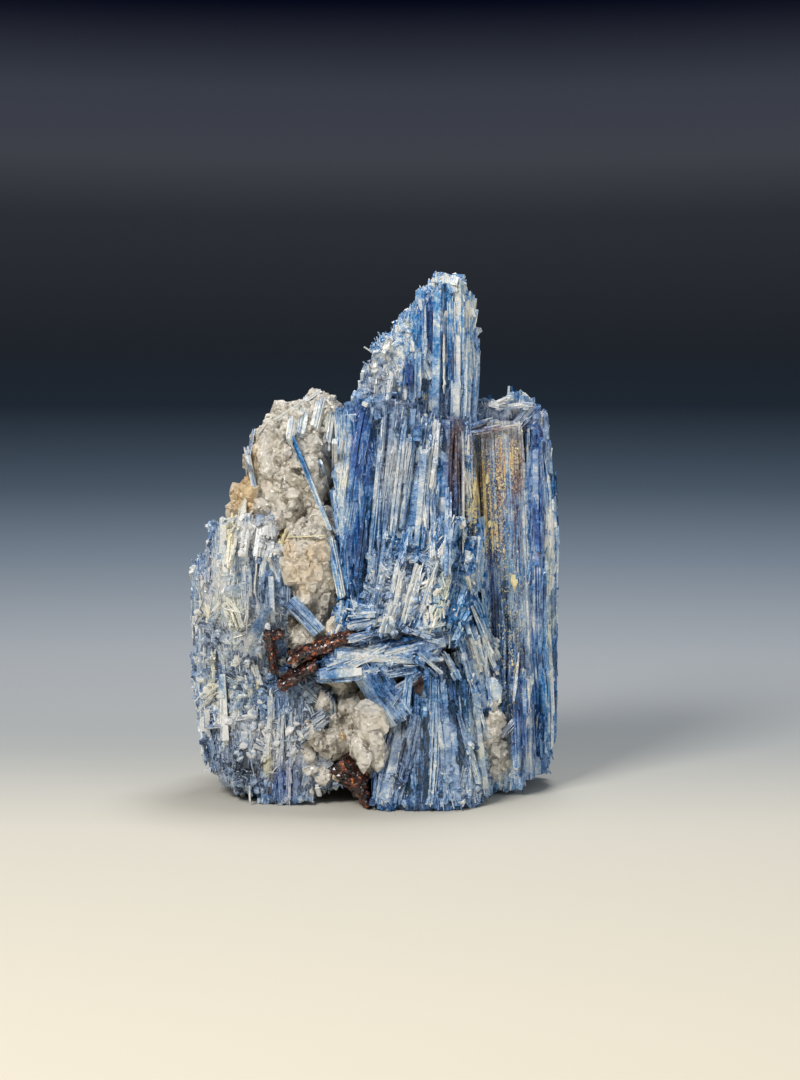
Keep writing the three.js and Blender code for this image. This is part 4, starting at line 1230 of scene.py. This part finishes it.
def singleCrystal(node, rng, spec):
    # one cleaved blade of the size of its CAD node
    places = points(cadCopy(node)) / mm
    middle = (places.max(axis=0) + places.min(axis=0)) / 2
    axes = np.linalg.svd(places - places.mean(axis=0), full_matrices=False)[2]
    axis = axes[0] if axes[0][2] > 0 else -axes[0]
    side, front = sorted(axes[1:], key=lambda way: abs(way[1]))
    front = front * -np.sign(front[1])
    ends = (places - middle) @ axis
    wide = np.ptp((places - middle) @ side)
    deep = np.ptp((places - middle) @ front)
    lift = front * deep * 0.5
    return cleavedBlade(middle + axis * ends.min() + lift, middle + axis * ends.max() + lift, front,
                        wide * spec["slim"], deep, rng, spec.get("tone", 0.4), spec["rib"] * 0.8,
                        spec["step"] * 0.8, spec["ragged"], groove=0.05, taper=0.05)


handLoose = 9     # how far a listed blade may stand out, in millimetres


def growSheaf(node, spec):
    spec = {**sheafDefaults, **spec}
    rng = np.random.default_rng(spec["seed"])
    cores = []
    if spec.get("single"):
        blades = kept([singleCrystal(node, rng, spec)] + heroBlades(spec, rng), handLoose)
    else:
        core, base, guide = carrierOf(node, spec)
        cores = [core]
        shape = bmesh.new()
        shape.from_mesh(base)
        bmesh.ops.triangulate(shape, faces=shape.faces)
        blades = kept(longBlades(shape, guide, spec, rng) + packs(shape, guide, spec, rng), spec["stray"])
        blades += kept(heroBlades(spec, rng), handLoose)
        shape.free()
    stones = heroStones(node, spec, rng)
    meshes = [*cores, bladesMesh(node, blades), *stones]
    # small shapes are laid on the fronts of the blades only
    carrier = linked("carrier", joinMeshes(node, [*cores, bladesMesh(node, blades, "fronts"), *stones]))
    for index, name in enumerate(spec["layers"]):
        layer = layers[name]
        thinOut(carrier.data, spec, layer["where"], layer["least"])
        lay = {**layer["lay"], "density": layer["lay"]["density"] * spec.get("thin", 1)}
        laid = scatter(carrier, finish=finishes[spec["finish"]], seed=spec["seed"] * 10 + index, **lay)
        for key, value in layer.get("paint", {}).items():
            fill(laid, key, value)
        meshes.append(laid)
    bpy.data.objects.remove(carrier)
    groups = {"Blades": meshes}
    if spec.get("apart"):     # the three finest layers become a piece of their own
        groups = {"Blades": meshes[:-3], "Grains": meshes[-3:]}
    for ending, group in groups.items():
        mesh = finished(joinMeshes(node + ending, group), finishes[spec["finish"]])
        paintSpots(mesh, spec)
        print(node + ending, len(blades), "blades", triangles(mesh), "triangles")
        showPiece(node + ending, mesh, node, "kyanite")


for node, spec in sheaves.items():
    growSheaf(node, spec)


# shelf, density, least size, most size, how deep
grainSteps = [("grains", 0.06, 3.0, 5.4, 1.9), ("grains", 0.35, 1.2, 2.8, 0.6),
              ("crumbs", 1.5, 0.4, 1.3, 0.1)]
rocks = {
    "quartz_matrix": dict(
        seed=31, voxel=1.4, finish="quartz", stretch=1.0, thin=0.55, rust=[(-30, 80, 2, 10, 0.6),
            (-33, 72, 3, 6, 0.8), (-22, 63, 3, 2, 0.6), (-17, 57, 5, 6, 0.35), (-9, 80, 2, 10, 0.3)],
        dull=[(-17.5, 70.4, 1.8, 3.2, 1.3), (-23, 90.4, 3.5, 4, 0.6), (-13.1, 88.2, 2.2, 2.4, 1.0),
            (-21, 80, 3, 5, 0.4), (-20, 44, 6, 4, 0.5), (-13, 20, 6, 10, 0.6), (0, 18, 5, 8, 0.45)],
        stones=[(-27.5, 70.5, 4.4, 4.6, 0.4, 0.2, {"rust": 0.2}),
            (-33.2, 72.4, 3.2, 4.4, 0.4, 0.3, {"rust": 0.5}), (-23.6, 68.6, 4.6, 5.0, 0.5, 0.1),
            (-29.6, 75.0, 3.4, 4.0, 0.5, 0.3, {"rust": 0.3}),
            (-35.4, 69.0, 2.4, 3.4, 0.5, 0.3, {"rust": 0.4}), (-24.6, 63.6, 3.0, 5.0, 0.3, 0.3),
            (-13.4, 61.6, 6.4, 6.4, 0.9, 0.15, {"rust": 0.35}),
            (-20.4, 56.2, 5.2, 6.0, 0.95, 0.1, {"rust": 0.1}),
            (-14.8, 56.8, 4.4, 5.4, 1.0, 0.1, {"rust": 0.15}),
            (-12.6, 48.8, 5.8, 7.2, 0.25, 0.15, {"dull": 0.4}),
            (-16.8, 50.6, 3.4, 4.6, 1.0, 0.0, {"rust": 0.2}),
            (-20.6, 42.6, 5.0, 6.4, 0.35, 0.2, {"dull": 0.4}),
            (-9.6, 43.4, 3.4, 5.0, 1.0, 0.0, {"rust": 0.3}),
            (-17.8, 39.6, 5.4, 4.0, 0.5, 0.2, {"dull": 0.3}),
            (-19.6, 70.6, 5.0, 6.4, 0.3, 0.2, {"dull": 0.4}),
            (-22.6, 88.6, 4.6, 5.6, 0.4, 0.25, {"dull": 0.3}), (-14, 77, 4.0, 5.6, 0.6, 0.2),
            (-25.6, 82.4, 4.6, 5.0, 0.7, 0.25), (-19.4, 82.6, 3.6, 4.4, 0.5, 0.25),
            (-25.4, 75.6, 4.4, 5.4, 0.85, 0.25, {"rust": 0.3}),
            (-31.6, 74.6, 2.8, 3.6, 0.5, 0.3, {"rust": 0.4}),
            (-0.8, 21.6, 8.0, 9.6, 0.55, 0.0, {"rust": 0.15}),
            (0.8, 15.6, 5.6, 9.4, 0.4, 0.0, {"rust": 0.05}), (-2.4, 12.8, 4.4, 6.0, 0.6, 0.0),
            (1.6, 20.4, 3.4, 5.0, 0.8, -0.1), (-3.4, 22.8, 3.4, 4.6, 0.35, -0.1),
            (-3.2, 14.4, 5.2, 7.4, 0.8, 0.1, {"rust": 0.15}), (-5.0, 24.6, 3.6, 5.4, 0.9, 0.1),
            (-2.2, 26.6, 3.0, 3.4, -0.1, 0.1, {"dull": 0.8}), (-15.4, 8.6, 4.2, 4.6, 0.85, 0.0),
            (-12.4, 7.0, 4.2, 4.6, 0.5, 0.1, {"dull": 0.2}), (-15.6, 3.4, 1.8, 4.0, 0.7, 0.1),
            (-8.0, 16.8, 1.8, 2.4, 0.9, 0.0, {"rust": 1}), (-7.2, 14.6, 2.4, 3.4, 0.9, 0.1, {"rust": 0.3}),
            (-9.4, 6.8, 2.2, 2.4, 0.9, 0.0, {"rust": 0.5}),
            (-12.6, 25.0, 4.6, 5.0, 0.5, 0.1, {"dull": 0.3}),
            (-11.4, 15.0, 4.4, 5.4, 0.4, 0.2, {"dull": 0.3}), (-16, 13.0, 3.4, 4.4, 0.7, 0.2)]),
    "quartz_side_lump": dict(seed=32, voxel=0.8, finish="quartz", stretch=1.0),
    "staurolite_bar": dict(seed=41, voxel=0.7, finish="staurolite", stretch=1.3, fine=0.35, thin=0.4),
    "staurolite_hook": dict(
        seed=42, voxel=0.6, finish="staurolite", stretch=1.3, fine=0.28, thin=0.3,
        stones=[(-29.9, 33.0, 0.7, 3.2, 0.5, 0.0), (-29.2, 30.8, 0.7, 3.0, 0.5, 0.0)]),
    "staurolite_prism": dict(seed=43, voxel=0.6, finish="staurolite", stretch=1.3, fine=0.28, thin=0.3),
    "staurolite_stub": dict(
        seed=44, stones=[(10.9, 30.6, 2.6, 3.8, 0.4, -0.9), (10.4, 29.4, 1.6, 2.2, 0.3, -1.3)], voxel=0.6,
        finish="staurolite", stretch=1.3, fine=0.28, thin=0.5),
    "staurolite_base": dict(seed=45, voxel=0.7, finish="staurolite", stretch=1.2, fine=0.35, thin=0.4),
}


rockLean = {True: (180, 180, 180), False: (20, 20, 90)}     # round rocks are laid every way


def growRock(node, spec):
    # a rough body covered with broken grains of three sizes
    core, base, guide = carrierOf(node, {"coreTone": 0.5, **spec})
    carrier = linked("carrier", core)
    meshes = [core]
    finish = finishes[spec["finish"]]
    fine, stretch, thin = spec.get("fine", 1.0), spec["stretch"], spec.get("thin", 1)
    for index, (shelf, density, least, most, sink) in enumerate(grainSteps):
        sizes = [(size * fine, size * fine, size * fine * stretch) for size in (least, most)]
        meshes.append(scatter(carrier, shelf, finish, density * thin / fine**2, *sizes,
                              rockLean[stretch == 1], sink * fine, spec["seed"] * 10 + index, 0.5))
    meshes += heroStones(node, spec, np.random.default_rng(spec["seed"]))
    mesh = finished(joinMeshes(node + "Grains", meshes), finish)
    paintSpots(mesh, spec)
    bpy.data.objects.remove(carrier)
    print(node, triangles(mesh), "triangles")
    showPiece(node + "Grains", mesh, node, spec["finish"])


for node, spec in rocks.items():
    growRock(node, spec)


for shelf in shelves.values():
    for thing in list(shelf.objects):
        bpy.data.objects.remove(thing)
    bpy.data.collections.remove(shelf)
